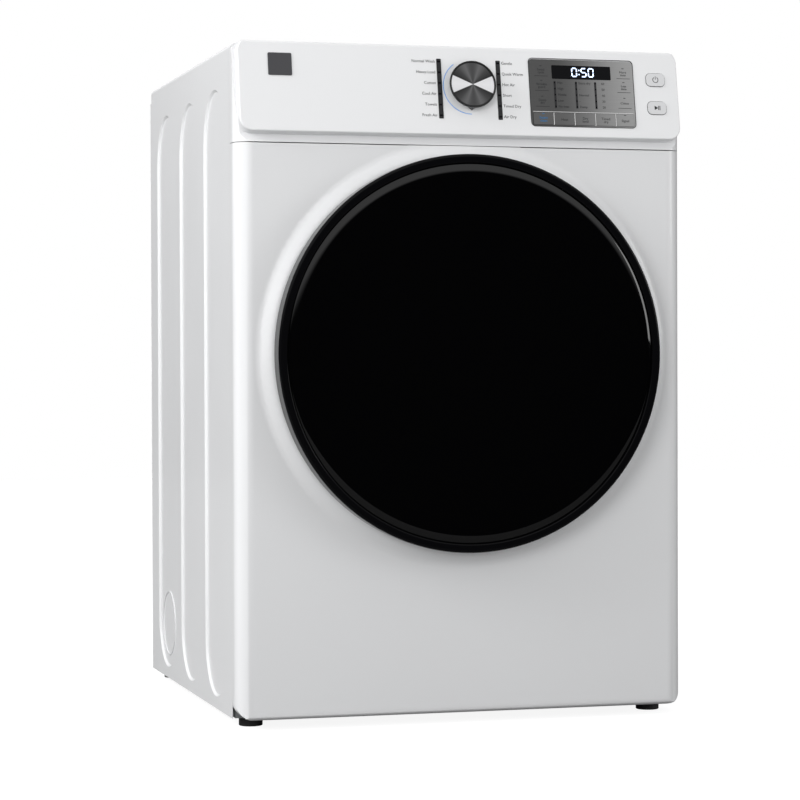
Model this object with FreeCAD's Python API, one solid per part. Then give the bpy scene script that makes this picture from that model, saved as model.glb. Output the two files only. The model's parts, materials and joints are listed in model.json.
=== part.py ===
import FreeCAD, Part
import math
import os

# Front-loading clothes dryer, millimetres. +X is the right side seen from the front, +Y the back, +Z up.
# The origin is on the floor, under the middle of the whole machine.

vec = FreeCAD.Vector

# Driving dimensions
width = 685.8
overall_depth = 779.8
overall_height = 996.5
door_proud = 45.0
cabinet_depth = 700.0
foot_height = 14.0
sheet = 1.0
corner_radius = 26.0
return_depth = 40.0
seam_z = 848.0
console_z = 863.0
lid_drop = 2.5
lid_band = 22.0
lid_inset = 1.5
panel_press = 3.0
panel_slope = 3.5
panel_half = 80.0
panel_low = 32.0
panel_high = 938.5
panel_behind = (158.0, 356.0, 557.0)
tilt = 10.0
plate_lip = 9.5
plate_inset = 5.2

half = width / 2
front_y = -overall_depth / 2 + door_proud
back_y = front_y + cabinet_depth
collar_y = overall_depth / 2
bottom_z = foot_height
foot_x = 310.0
foot_radius = 17.5
side_front_y = front_y + return_depth
lid_top = overall_height - lid_drop
side_top_z = lid_top - lid_band - 0.5

# Door and drum share one axis along Y
door_z = 543.1
door_radius = 290.5
boss_height = 9.0
swell_radii = (316.8, 304.0, 300.0, 287.8)
rim_back = 14.0
edge_round = 2.0
rim_inner = door_radius - 4
glass_radius = door_radius - 13
window_bore = 158.0
window_seat = 172.0
throat_radius = 220.0
hinge_x = 280.0
hinge_out = 31.0
hinge_half = 28.0
drum_radius = 310.0
drum_front_y = -292.0
drum_rear_y = 316.0
front_plate_y = -300.0
rear_plate_y = 322.0
flange_radius = 302.0
running = 0.05
clear = 0.3

# Rollers, motor, blower and belt
roller_radius = 35.0
roller_width = 20.0
roller_angle = 40.0
axle_radius = 6.0
motor_x = -40.0
motor_z = 125.0
motor_radius = 58.0
shaft_radius = 6.0
pulley_radius = 12.0
belt_y = -15.0
belt_width = 8.0
belt_thick = 2.0
blower_radius = 82.0
blower_front_y = -268.0
blower_rear_y = -206.0
idler_radius = 18.0
pivot_x = motor_x + 72
pivot_z = motor_z - 7
pivot_radius = 4.0
exhaust_radius = 50.8
exhaust_x = 110.0
exhaust_z = 98.0
duct_radius = exhaust_radius - 1
duct_bore = exhaust_radius - 2

# Fittings on the back
terminal_deep = 32.0
cord_hole_radius = 11.0
inlet_radius = 13.3
inlet_x = -190.0
inlet_z = 170.0

# Lint filter slides straight up out of its duct
filter_half = 98.0
filter_y = -322.0
filter_thick = 16.0
filter_top_z = 324.0
filter_bottom_z = 96.0

# Places on the leaning fascia: x across, rise up the slope from its lower edge
dial_x = 10.4
dial_rise = 74.0
dial_radius = 35.5
dial_height = 15.5
dial_neck = 29.0
pointer_reach = 36.8
cap_radius = 33.0
cap_deep = 2.4
arc_radius = 41.3
overlay_box = (104.5, 264.5, 18.4, 119.3)
display_box = (138.0, 231.0, 89.8, 110.8)
key_edges = (104.5, 137.6, 170.3, 202.9, 235.1, 264.5)
key_rise = (18.4, 38.2)
key_clear = 0.4
key_gap = 0.8
ladder_x = (-36.4, 54.7)
ladder_rise = (25.0, 115.2)
ladder_half = 3.5
strip_x = (141.8, 175.3, 205.6)
strip_rise = (45.1, 86.2)
button_x = 302.0
button_proud = 1.4
button_size = (29.0, 19.4)
button_corner = 6.5
power_rise = 92.4
start_rise = 48.9
badge_box = (-293.3, -258.2, 83.7, 117.2)

parts = {}


# Small tools

def box(x0, x1, y0, y1, z0, z1):
    return Part.makeBox(x1 - x0, y1 - y0, z1 - z0, vec(x0, y0, z0))


def rod(radius, x, z, y0, y1):
    """A cylinder lying along Y."""
    return Part.makeCylinder(radius, y1 - y0, vec(x, y0, z), vec(0, 1, 0))


def tube(outer, inner, x, z, y0, y1):
    return rod(outer, x, z, y0, y1).cut(rod(inner, x, z, y0 - 1, y1 + 1))


def post(radius, x, y, z0, z1):
    return Part.makeCylinder(radius, z1 - z0, vec(x, y, z0))


def out(distance):
    """Y of a point that stands this far in front of the cabinet's front plane."""
    return front_y - distance


def loop(corners):
    """Closed wire in the XY plane through (x, y, radius) corners, each rounded."""
    count = len(corners)
    ends = []
    for i in range(count):
        here = vec(corners[i][0], corners[i][1], 0)
        before = vec(corners[i - 1][0], corners[i - 1][1], 0) - here
        after = vec(corners[(i + 1) % count][0], corners[(i + 1) % count][1], 0) - here
        before.normalize()
        after.normalize()
        half_turn = before.getAngle(after) / 2
        radius = corners[i][2]
        if radius <= 0:
            ends.append((here, here, here))
            continue
        back = radius / math.tan(half_turn)
        middle = before + after
        middle.normalize()
        middle = here + middle * (radius / math.sin(half_turn) - radius)
        ends.append((here + before * back, middle, here + after * back))
    edges = []
    for i in range(count):
        first, middle, last = ends[i]
        if (last - first).Length > 1e-6:
            edges.append(Part.Arc(first, middle, last).toShape())
        following = ends[(i + 1) % count][0]
        if (following - last).Length > 1e-6:
            edges.append(Part.makeLine(last, following))
    return Part.Wire(edges)


def slab(corners, low, high):
    """Rounded outline in XY, thick along Z."""
    face = Part.Face(loop(corners))
    face.translate(vec(0, 0, low))
    return face.extrude(vec(0, 0, high - low))


def panel_xz(corners, y0, y1):
    """Rounded outline in X and Z, thick along Y."""
    solid = slab(corners, -y1, -y0)
    solid.rotate(vec(0, 0, 0), vec(1, 0, 0), 90)
    return solid


def rectangle(x0, x1, y0, y1, radius):
    return [(x0, y0, radius), (x1, y0, radius), (x1, y1, radius), (x0, y1, radius)]


def panel_yz(corners, x0, x1):
    """Rounded outline in Y and Z, thick along X."""
    solid = slab(corners, x0, x1)
    solid.rotate(vec(0, 0, 0), vec(1, 1, 1), 120)
    return solid


def turned(corners, x=0.0, z=door_z):
    """Solid of revolution about an axis along Y, from (radius, y, rounding) corners."""
    face = Part.Face(loop(corners))
    solid = face.revolve(vec(0, 0, 0), vec(0, 1, 0), 360)
    solid.translate(vec(x, 0, z))
    return solid


def on_fascia(solid):
    """Moves a solid from fascia terms (x, rise, height above the face) to its place."""
    solid.rotate(vec(0, 0, 0), vec(1, 0, 0), 90 - tilt)
    solid.translate(vec(0, out(plate_lip), console_z))
    return solid


def fascia_slab(x0, x1, rise0, rise1, low, high, radius):
    return on_fascia(slab(rectangle(x0, x1, rise0, rise1, radius), low, high))


def fascia_disc(radius, x, rise, low, high):
    return on_fascia(Part.makeCylinder(radius, high - low, vec(x, rise, low)))


def joined(solids):
    first = solids[0]
    if len(solids) > 1:
        first = first.fuse(solids[1:])
    return first.removeSplitter()


def keep(name, shape):
    parts[name] = shape


# Cabinet shell

def front_form(inset):
    """Front panel's outer form, or its hollow when inset."""
    back = side_front_y + (5 if inset else 0)
    top = seam_z + (5 if inset else 0)
    low = bottom_z + inset
    side = half - inset
    near = front_y + inset
    round_side = corner_radius - inset
    plan = slab([(-side, near, round_side), (side, near, round_side), (side, back, 0), (-side, back, 0)],
                low, top)
    face = panel_xz([(-side, low, round_side), (side, low, round_side), (side, top, 0), (-side, top, 0)],
                    near, back)
    profile = panel_yz([(near, low, 11 - inset), (back, low, 0), (back, top, 0),
                        (near, top, edge_round - inset * 0.5)], -side, side)
    return plan.common(face).common(profile)


def swell(shift, shrink):
    """Smooth swelling of the front panel around the door, as a solid."""
    curve = Part.BezierCurve()
    foot_line = swell_radii[0] - shrink
    crest = swell_radii[3] - shrink
    flat = out(-shift)
    top = out(boss_height - shift)
    curve.setPoles([vec(foot_line, flat, 0), vec(swell_radii[1] - shrink, flat, 0),
                    vec(swell_radii[2] - shrink, top, 0), vec(crest, top, 0)])
    back = front_y + 8
    edges = [
        curve.toShape(),
        Part.makeLine(vec(crest, top, 0), vec(0, top, 0)),
        Part.makeLine(vec(0, top, 0), vec(0, back, 0)),
        Part.makeLine(vec(0, back, 0), vec(foot_line, back, 0)),
        Part.makeLine(vec(foot_line, back, 0), vec(foot_line, flat, 0)),
    ]
    solid = Part.Face(Part.Wire(edges)).revolve(vec(0, 0, 0), vec(0, 1, 0), 360)
    solid.translate(vec(0, 0, door_z))
    return solid


def front_panel():
    shell = front_form(0).cut(front_form(sheet))
    bulge = swell(0, 0).common(box(-half, half, out(60), front_y + sheet, bottom_z, seam_z))
    shell = shell.fuse(bulge).cut(swell(sheet, 1.0))
    shell = shell.cut(rod(throat_radius - 1, 0, door_z, out(60), front_y + 20))
    catch_slot = box(-272, -252, out(20), front_y, door_z - 12, door_z + 12)
    return shell.cut(catch_slot).removeSplitter()


def stadium(middle_y, radius, x):
    """Upright stadium wire in a plane of constant x."""
    low = panel_low + panel_half - radius
    high = panel_high - panel_half + radius
    wire = loop(rectangle(middle_y - radius, middle_y + radius, low, high, radius - 0.01))
    wire.rotate(vec(0, 0, 0), vec(1, 1, 1), 120)
    wire.translate(vec(x, 0, 0))
    return wire


def side_panel(side):
    """Side sheet with three pressed-in panels and a round vent knock-out."""
    face_x = side * half
    inner_x = side * (half - sheet)
    low_x, high_x = sorted((face_x, inner_x))
    plate = box(low_x, high_x, side_front_y + 0.5, back_y, bottom_z, side_top_z)
    floor_x = face_x - side * panel_press
    inner_half = panel_half - panel_slope
    for behind in panel_behind:
        middle = front_y + behind
        outer = Part.makeLoft([stadium(middle, panel_half + sheet, face_x),
                               stadium(middle, inner_half + sheet, floor_x - side * sheet)], True)
        hollow = Part.makeLoft([stadium(middle, panel_half, face_x),
                                stadium(middle, inner_half, floor_x)], True)
        plate = plate.cut(outer).fuse(outer.cut(hollow))
    ring = Part.makeCylinder(53, 1.2, vec(0, 0, 0), vec(1, 0, 0))
    ring = ring.cut(Part.makeCylinder(50.5, 3, vec(-1, 0, 0), vec(1, 0, 0)))
    ring.translate(vec(floor_x - (1.2 if side < 0 else 0), front_y + panel_behind[-1], bottom_z + 90))
    return plate.fuse(ring).removeSplitter()


def rear_panel():
    edge_x = half - sheet - 0.2
    plate = panel_xz(rectangle(-edge_x, edge_x, bottom_z, side_top_z, 6), back_y - sheet, back_y)
    plate = plate.cut(rod(exhaust_radius + 0.5, exhaust_x, exhaust_z, 300, 400))
    plate = plate.cut(rod(inlet_radius + 1.2, inlet_x, inlet_z, 300, 400))
    plate = plate.cut(panel_xz(rectangle(-278, -222, 350, 410, 4), 300, 400))
    for row in range(9):
        for column in (-1, 1):
            x = 120 * column
            z = 620 + 26 * row
            plate = plate.cut(panel_xz(rectangle(x - 70, x + 70, z - 4, z + 4, 3.9), 300, 400))
    return plate


def top_panel():
    """Lid sheet with a folded band on all four sides."""
    low = lid_top - lid_band
    side = half - lid_inset
    start = side_front_y + 0.5
    band = [(-side, low, 0), (side, low, 0), (side, lid_top, 6), (-side, lid_top, 6)]
    inner = [(-side + sheet, low - 1, 0), (side - sheet, low - 1, 0),
             (side - sheet, lid_top - sheet, 5), (-side + sheet, lid_top - sheet, 5)]
    return panel_xz(band, start, back_y).cut(panel_xz(inner, start + sheet, back_y - sheet))


def base_pan():
    """Pressed tray with the nuts' holes for the feet and stiffening ribs."""
    near = side_front_y + 2
    far = back_y - sheet
    side = half - panel_press - sheet - 1
    pan = box(-side, side, near, far, bottom_z, bottom_z + 32)
    pan = pan.cut(box(-side + 2, side - 2, near + 2, far - 2, bottom_z + 2, bottom_z + 40))
    tongue = box(-side + 30, side - 30, front_y + 14, near + 1, bottom_z + 2.5, bottom_z + 4.5)
    pan = pan.fuse(tongue)
    for x in (-150, 150):
        pan = pan.fuse(box(x - 8, x + 8, near + 60, far - 140, bottom_z + 1, bottom_z + 8))
    for x, y in foot_places():
        pan = pan.fuse(post(13, x, y, bottom_z, bottom_z + 14))
        pan = pan.cut(post(5.0 + 0.4, x, y, bottom_z - 1, bottom_z + 40))
    return pan.removeSplitter()


def foot_places():
    return [(x, y) for y in (front_y + 66, back_y - 25) for x in (-foot_x, foot_x)]


def foot(x, y):
    disc = post(foot_radius, x, y, 0, foot_height - 3)
    disc = disc.makeFillet(1.5, [e for e in disc.Edges if e.BoundBox.ZLength < 0.01])
    collar = Part.makeCylinder(9, 3 - clear, vec(x, y, foot_height - 3), vec(0, 0, 1))
    stem = post(5, x, y, foot_height - 4, foot_height + 27)
    return joined([disc, collar, stem])


# Console

def console_panel():
    """Moulded housing with a proud fascia plate, hollow behind, cut for the keys and the shaft."""
    back = side_front_y
    low = seam_z + 1
    plan = slab([(-half, front_y, corner_radius), (half, front_y, corner_radius), (half, back, 0),
                 (-half, back, 0)], low, overall_height)
    lean = math.tan(math.radians(tilt)) * (overall_height - console_z)
    step = out(plate_lip) + 17
    housing = panel_yz([(front_y, low, 0), (back, low, 0), (back, overall_height, 0),
                        (step + lean, overall_height, 4), (step, console_z - 2, 6)], -half, half)
    housing = housing.common(plan)
    slope = (overall_height - console_z) / math.cos(math.radians(tilt))
    plate_side = half - plate_inset
    outline = [(-plate_side, 1, 19), (plate_side, 1, 19), (plate_side, slope + 6, 22),
               (-plate_side, slope + 6, 22)]
    plate = slab(outline, -24, 0)
    plate = plate.makeFillet(edge_round, [e for e in plate.Edges if e.BoundBox.ZMin > -0.01])
    cover = housing.fuse(on_fascia(plate))
    edge_y = out(plate_lip) + lean - 0.5
    fall = 60 * math.tan(math.radians(tilt))
    low_edge = (edge_y - 3 * fall, overall_height - 180)
    top_edge = panel_yz([(*low_edge, 0), (back, low_edge[1], 0), (back, overall_height, 0),
                         (edge_y, overall_height, 6)], -half, half)
    round_top = panel_xz([(-half, low, 0), (half, low, 0), (half, overall_height, 18),
                          (-half, overall_height, 18)], out(60), back)
    cover = cover.common(top_edge).common(round_top)
    hollow = fascia_slab(-half + 14, half - 14, 6, slope - 4, -90, -3, 24)
    hollow = hollow.common(box(-half, half, out(20), back + 1, low + 3, overall_height - 2.5))
    cover = cover.cut(hollow)
    cover = cover.cut(fascia_disc(shaft_radius + 0.5, dial_x, dial_rise, -20, 20))
    for index in range(5):
        cover = cover.cut(key_form(index, key_clear, -20, 20))
    for rise in (power_rise, start_rise):
        cover = cover.cut(button_form(rise, key_clear, -20, 20))
    return cover.removeSplitter()


def button_form(rise, grow, low, high):
    across = button_size[0] / 2 + grow
    tall = button_size[1] / 2 + grow
    return fascia_slab(button_x - across, button_x + across, rise - tall, rise + tall, low, high,
                       button_corner + grow)


def key_form(index, inset, low, high):
    return fascia_slab(key_edges[index] + inset, key_edges[index + 1] - inset,
                       key_rise[0] + inset, key_rise[1] - inset, low, high, 1.2)


def control_overlay():
    """Thin metal sheet on the fascia around the display and the keys."""
    left, right, low, high = overlay_box
    plate = fascia_slab(left - 2, right + 2, low - 2, high, 0, 0.8, 6)
    plate = plate.cut(fascia_slab(*display_box, -1, 2, 1.5))
    for index in range(5):
        plate = plate.cut(key_form(index, 0.35, -1, 2))
    return plate


def indicator_lights():
    """Light pipes: two ladders beside the dial, its arc, and three strips on the overlay."""
    bars = [fascia_slab(x - ladder_half, x + ladder_half, *ladder_rise, 0, 0.5, 1) for x in ladder_x]
    bars += [fascia_slab(x - 1.5, x + 1.5, *strip_rise, 0.8, 1.2, 0.5) for x in strip_x]
    arc = Part.makeCylinder(arc_radius + 0.4, 0.4, vec(dial_x, dial_rise, 0)).cut(
        Part.makeCylinder(arc_radius - 0.4, 2, vec(dial_x, dial_rise, -1)))
    window = Part.makeBox(60, 60, 4, vec(dial_x - 60, dial_rise - 60, -2))
    window = window.fuse(Part.makeBox(60, 38, 4, vec(dial_x - 60, dial_rise - 1, -2)))
    bars.append(on_fascia(arc.common(window).removeSplitter()))
    return Part.makeCompound(bars)


def pointer_outline(reach, height):
    """Wedge beside the dial's neck, pointing down the fascia."""
    width = 16 + 0.25 * (reach - dial_neck)
    first = vec(-width, -22, height)
    return Part.makePolygon([first, vec(0, -reach, height), vec(width, -22, height), first])


def dial_knob():
    """Knob: narrow neck with a pointer, flaring to a wide rim, and a shaft through the fascia."""
    rim_low = dial_height - 4
    seat = dial_height - cap_deep
    face = Part.Face(loop([
        (0, 1.0, 0), (dial_neck + 1, 1.0, 0), (dial_neck, 4.0, 1), (dial_radius - 0.5, rim_low, 1),
        (dial_radius, dial_height, 1.2), (cap_radius + 0.2, dial_height, 0.3), (cap_radius + 0.2, seat, 0),
        (0, seat, 0)]))
    body = face.revolve(vec(0, 0, 0), vec(0, 1, 0), 360)
    body.rotate(vec(0, 0, 0), vec(1, 0, 0), 90)
    pointer = Part.makeLoft([pointer_outline(pointer_reach, 1.0),
                             pointer_outline(dial_neck + 4, rim_low - 1)], True)
    body = body.fuse(pointer)
    body.translate(vec(dial_x, dial_rise, 0))
    shaft = Part.makeCylinder(shaft_radius, 13, vec(dial_x, dial_rise, -11))
    return on_fascia(body.fuse(shaft).removeSplitter())


def dial_cap():
    """Spun metal disc set into the knob's rim."""
    cap = Part.makeCylinder(cap_radius, 1.2, vec(dial_x, dial_rise, dial_height - cap_deep))
    cap = cap.makeChamfer(0.4, [e for e in cap.Edges if e.BoundBox.ZMin > dial_height - 1.5])
    return on_fascia(cap)


def console():
    keep("console_panel", console_panel())
    keep("control_overlay", control_overlay())
    keep("display_lens", fascia_slab(display_box[0] + 0.1, display_box[1] - 0.1,
                                     display_box[2] + 0.1, display_box[3] - 0.1, 0, 1.0, 1.4))
    keep("indicator_lights", indicator_lights())
    keep("badge_plate", fascia_slab(*badge_box, 0, 1.2, 2))
    keep("control_board", fascia_slab(60, 322, 12, 118, -14, -12.4, 3))
    keep("dial_knob", dial_knob())
    keep("dial_cap", dial_cap())
    keep("power_button", button_form(power_rise, 0, -6, button_proud))
    keep("start_button", button_form(start_rise, 0, -6, button_proud))
    for index in range(5):
        keep("option_key_" + str(index + 1), key_form(index, key_gap, -5, 1.5))


# Door

def door_frame():
    """Rolled outer rim that carries the glass, with a notch behind for the hinge."""
    ring = turned([
        (door_radius, out(rim_back), 1), (door_radius, out(44.5), 4.5), (glass_radius + 0.4, out(44.5), 1),
        (glass_radius + 0.4, out(38), 0), (262, out(38), 0), (262, out(34), 0), (rim_inner, out(34), 0),
        (rim_inner, out(rim_back), 0)])
    notch = box(hinge_x - 20, hinge_x + 30, out(33.9), out(10), door_z - 32, door_z + 32)
    notch = notch.fuse(box(hinge_x - 8, hinge_x + 7, out(36.6), out(10), door_z - 32, door_z + 32))
    notch = notch.fuse(box(hinge_x + 3.5, hinge_x + 30, out(39.2), out(10), door_z - 32, door_z + 32))
    return ring.cut(notch)


def door_glass():
    """Slightly domed disc."""
    rise = 2.8
    sphere_radius = (glass_radius ** 2 + rise ** 2) / (2 * rise)
    blank = rod(glass_radius, 0, door_z, out(door_proud + 1), out(30))
    ball = Part.makeSphere(sphere_radius, vec(0, out(door_proud - sphere_radius), door_z))
    hollow = Part.makeSphere(sphere_radius, vec(0, out(door_proud - 4 - sphere_radius), door_z))
    return blank.common(ball).cut(hollow)


def door_inner_panel():
    """Back of the door: dished ring, window collar, and the latch hook on its free side."""
    edge = rim_inner - 0.5
    panel = turned([
        (edge, out(18), 1), (edge, out(21), 0), (250, out(21), 0), (236, out(27), 3),
        (window_seat, out(27), 0), (window_seat, out(30), 0), (window_bore, out(30), 0),
        (window_bore, out(15), 1), (window_seat - 2, out(15), 1), (window_seat, out(24), 2), (234, out(24), 3), (248, out(18), 3)])
    panel = panel.cut(box(hinge_x - 26, hinge_x + 30, out(40), out(10), door_z - 32, door_z + 32))
    hook = box(-266, -258, out(19), out(-6), door_z - 7, door_z + 7)
    hook = hook.fuse(box(-269, -258, out(-2), out(-6), door_z - 7, door_z + 7))
    return panel.fuse(hook).removeSplitter()


def door_window():
    """Shallow glass dish that closes the drum's mouth."""
    return turned([
        (157.6, out(29), 0), (157.6, out(16), 2), (150, out(4), 12), (120, out(-1), 20), (0, out(-1), 0),
        (0, out(4), 0), (118, out(4), 18), (146, out(9), 12), (152.6, out(29), 0)])


def door_seal():
    """Soft lip ring on the door's back, touching the front panel around the opening."""
    lip = boss_height + 0.2
    return turned([(233, out(23.9), 0), (233, out(lip + 2), 1.5), (229, out(lip), 1), (226, out(lip), 1),
                   (230, out(lip + 5), 1), (230, out(23.9), 0)])


def door_hinge():
    """Door leaf with two knuckles on the pin."""
    y = out(hinge_out)
    leaf = box(hinge_x - 32, hinge_x, out(33.8), out(31.5), door_z - hinge_half, door_z + hinge_half)
    solid = leaf
    for low, high in ((-hinge_half, -hinge_half + 10), (hinge_half - 10, hinge_half)):
        solid = solid.fuse(post(5, hinge_x, y, door_z + low, door_z + high))
    middle = post(6.5, hinge_x, y, door_z - hinge_half + 10, door_z + hinge_half - 10)
    middle = middle.fuse(box(hinge_x - 6.5, hinge_x + 9, out(33.9), out(20),
                             door_z - hinge_half + 10, door_z + hinge_half - 10))
    solid = solid.cut(middle)
    return solid.cut(post(3 + running, hinge_x, y, door_z - 60, door_z + 60)).removeSplitter()


def hinge_bracket():
    """Cabinet side of the hinge: foot plate, arm and pin."""
    y = out(hinge_out)
    plate = box(hinge_x - 24, hinge_x + 3, out(boss_height + 2), out(boss_height), door_z - 27, door_z + 27)
    reach = hinge_half - 10 - 0.6
    arm = box(hinge_x - 2.5, hinge_x + 2.5, y, out(boss_height), door_z - reach, door_z + reach)
    knuckle = post(4.8, hinge_x, y, door_z - reach, door_z + reach)
    pin = post(3, hinge_x, y, door_z - hinge_half - 2, door_z + hinge_half + 2)
    return joined([plate, arm, knuckle, pin])


def door_catch():
    """Spring catch behind the front panel, with a roomy mouth for the hook."""
    body = box(-280, -246, out(boss_height - sheet), out(-22), door_z - 20, door_z + 20)
    return body.cut(box(-273, -251, out(20), out(-16), door_z - 11, door_z + 11))


def door():
    keep("door_frame", door_frame())
    keep("door_glass", door_glass())
    keep("door_inner_panel", door_inner_panel())
    keep("door_window", door_window())
    keep("door_seal", door_seal())
    keep("door_hinge", door_hinge())
    keep("hinge_bracket", hinge_bracket())
    keep("door_catch", door_catch())


# Drum and what carries it

def front_bulkhead():
    """Plate behind the front panel with the throat, the drum's front flange and the filter's slot."""
    plate = panel_xz([(-330, 200, 30), (330, 200, 30), (330, 852, 60), (-330, 852, 60)],
                     front_plate_y, front_plate_y + 2)
    throat = tube(throat_radius, throat_radius - 2, 0, door_z, out(boss_height - sheet), front_plate_y + 2)
    flange = tube(flange_radius, flange_radius - 2, 0, door_z, front_plate_y, front_plate_y + 26)
    solid = plate.cut(rod(throat_radius - 1, 0, door_z, -400, -200)).fuse([throat, flange])
    slot = box(-filter_half - 3, filter_half + 3, filter_y - 10, filter_y + 10, 200, door_z - 100)
    return solid.cut(slot).removeSplitter()


def rear_bulkhead():
    """Plate behind the drum with its flange and a field of air holes."""
    plate = panel_xz([(-330, 228, 30), (330, 228, 30), (330, 866, 60), (-330, 866, 60)],
                     rear_plate_y, rear_plate_y + 2)
    flange = tube(flange_radius, flange_radius - 2, 0, door_z, rear_plate_y - 26, rear_plate_y + 1)
    solid = plate.fuse(flange)
    holes = []
    for ring in range(1, 6):
        for step in range(6 * ring):
            angle = math.radians(60.0 / ring * step)
            x = 95 + 21 * ring * math.cos(angle)
            z = door_z + 120 + 21 * ring * math.sin(angle)
            holes.append(rod(6, x, z, rear_plate_y - 5, rear_plate_y + 5))
    return solid.cut(Part.makeCompound(holes)).removeSplitter()


def drum_seals():
    """Felt rings on the two flanges, just inside the drum's ends."""
    outer = drum_radius - sheet - clear
    front = tube(outer, flange_radius, 0, door_z, front_plate_y + 9, front_plate_y + 25)
    rear = tube(outer, flange_radius, 0, door_z, rear_plate_y - 25, rear_plate_y - 7)
    return Part.makeCompound([front, rear])


def drum_shell():
    """Open steel cylinder with rolled beads."""
    shell = tube(drum_radius, drum_radius - sheet, 0, door_z, drum_front_y, drum_rear_y)
    for y in (-215, 245):
        shell = shell.cut(tube(drum_radius + 1, drum_radius - 0.6, 0, door_z, y - 2, y + 2))
    return shell


def drum_baffles():
    """Three hollow lifters inside the drum."""
    solids = []
    for index in range(3):
        corners = [(-48, drum_radius - 4, 0), (-22, 232, 14), (22, 232, 14), (48, drum_radius - 4, 0)]
        lifter = panel_xz(corners, -215, 235)
        core = panel_xz([(-42, drum_radius - 2, 0), (-18, 236, 11), (18, 236, 11), (42, drum_radius - 2, 0)],
                        -211, 231)
        lifter = lifter.cut(core)
        lifter = lifter.common(rod(drum_radius - sheet, 0, 0, -300, 300))
        lifter.rotate(vec(0, 0, 0), vec(0, 1, 0), 60 + 120 * index)
        lifter.translate(vec(0, 0, door_z))
        solids.append(lifter)
    return Part.makeCompound(solids)


def roller_place(side):
    reach = drum_radius + roller_radius + clear
    angle = math.radians(roller_angle)
    return side * reach * math.sin(angle), door_z - reach * math.cos(angle)


def roller(side, middle_y):
    x, z = roller_place(side)
    low = middle_y - roller_width / 2
    high = middle_y + roller_width / 2
    wheel = rod(roller_radius, x, z, low, high)
    wheel = wheel.cut(tube(26, 13, x, z, low - 1, low + 5)).cut(tube(26, 13, x, z, high - 5, high + 1))
    return wheel.cut(rod(axle_radius + running, x, z, low - 1, high + 1))


def roller_axles():
    pins = []
    for side in (-1, 1):
        x, z = roller_place(side)
        front = rod(axle_radius, x, z, front_plate_y + 2, front_plate_y + 42)
        pins.append(front.fuse(rod(10, x, z, front_plate_y + 2, front_plate_y + 15)))
        rear = rod(axle_radius, x, z, rear_plate_y - 42, rear_plate_y)
        pins.append(rear.fuse(rod(10, x, z, rear_plate_y - 13, rear_plate_y)))
    return Part.makeCompound(pins)


def drum_group():
    keep("front_bulkhead", front_bulkhead())
    keep("rear_bulkhead", rear_bulkhead())
    keep("drum_seals", drum_seals())
    keep("drum_shell", drum_shell())
    keep("drum_baffles", drum_baffles())
    keep("roller_axles", roller_axles())
    keep("drum_lamp", rod(20, -130, door_z + 190, rear_plate_y - 9, rear_plate_y).fuse(
        rod(26, -130, door_z + 190, rear_plate_y - 2.5, rear_plate_y)))
    for end, middle_y in (("front", front_plate_y + 27), ("rear", rear_plate_y - 25)):
        for name, side in (("left", -1), ("right", 1)):
            keep(end + "_roller_" + name, roller(side, middle_y))


# Motor, belt and air path

def tangents(gap):
    """Points where the belt's inner line leaves the drum and meets the pulley, left and right."""
    big = drum_radius + gap
    small = pulley_radius + gap
    across = motor_x
    down = motor_z - door_z
    facing = math.atan2(down, across)
    spread = math.acos((big - small) / math.hypot(across, down))
    points = []
    for turn in (-spread, spread):
        direction = (math.cos(facing + turn), math.sin(facing + turn))
        points.append((vec(big * direction[0], 0, door_z + big * direction[1]),
                       vec(motor_x + small * direction[0], 0, motor_z + small * direction[1])))
    return facing, points


def belt_solid(gap, y0, y1):
    facing, points = tangents(gap)
    big = drum_radius + gap
    small = pulley_radius + gap
    top = vec(-big * math.cos(facing), 0, door_z - big * math.sin(facing))
    low = vec(motor_x + small * math.cos(facing), 0, motor_z + small * math.sin(facing))
    (left_top, left_low), (right_top, right_low) = points
    wire = Part.Wire([
        Part.Arc(left_top, top, right_top).toShape(),
        Part.makeLine(right_top, right_low),
        Part.Arc(right_low, low, left_low).toShape(),
        Part.makeLine(left_low, left_top),
    ])
    face = Part.Face(wire)
    face.translate(vec(0, y0, 0))
    return face.extrude(vec(0, y1 - y0, 0))


def idler_place():
    """Centre of the tensioner pulley, just outside the belt's right-hand run."""
    _, points = tangents(clear + belt_thick)
    top, low = points[1]
    along = top - low
    spot = low + along * 0.4
    along.normalize()
    normal = vec(along.z, 0, -along.x)
    return spot + normal * (clear + idler_radius)


def idler_arm():
    centre = idler_place()
    pivot = vec(pivot_x, 0, pivot_z)
    along = centre - pivot
    length = along.Length
    arm = slab([(-9, -9, 8.9), (length + 8, -9, 8.9), (length + 8, 9, 8.9), (-9, 9, 8.9)], 0, 3)
    tail = slab([(-7, -30, 4), (3, -30, 4), (3, 0, 0), (-7, 0, 0)], 0, 3).cut(
        Part.makeCylinder(2.2, 5, vec(-2, -25, -1)))
    solid = arm.fuse(tail)
    solid.rotate(vec(0, 0, 0), vec(1, 0, 0), 90)
    solid.rotate(vec(0, 0, 0), vec(0, 1, 0), -math.degrees(math.atan2(along.z, along.x)))
    solid.translate(vec(pivot_x, belt_y - 10, pivot_z))
    pin = rod(4, centre.x, centre.z, belt_y - 11, belt_y + 12)
    solid = solid.fuse(pin)
    hub = rod(8, pivot_x, pivot_z, belt_y - 13, belt_y + 3)
    solid = solid.fuse(hub)
    solid = solid.cut(rod(pivot_radius + running, pivot_x, pivot_z, belt_y - 30, belt_y + 30))
    return solid.removeSplitter()


def idler_pulley():
    centre = idler_place()
    wheel = rod(idler_radius, centre.x, centre.z, belt_y - 8, belt_y + 8)
    wheel = wheel.cut(tube(14, 8, centre.x, centre.z, belt_y + 3, belt_y + 12))
    return wheel.cut(rod(4 + running, centre.x, centre.z, belt_y - 20, belt_y + 20))


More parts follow.
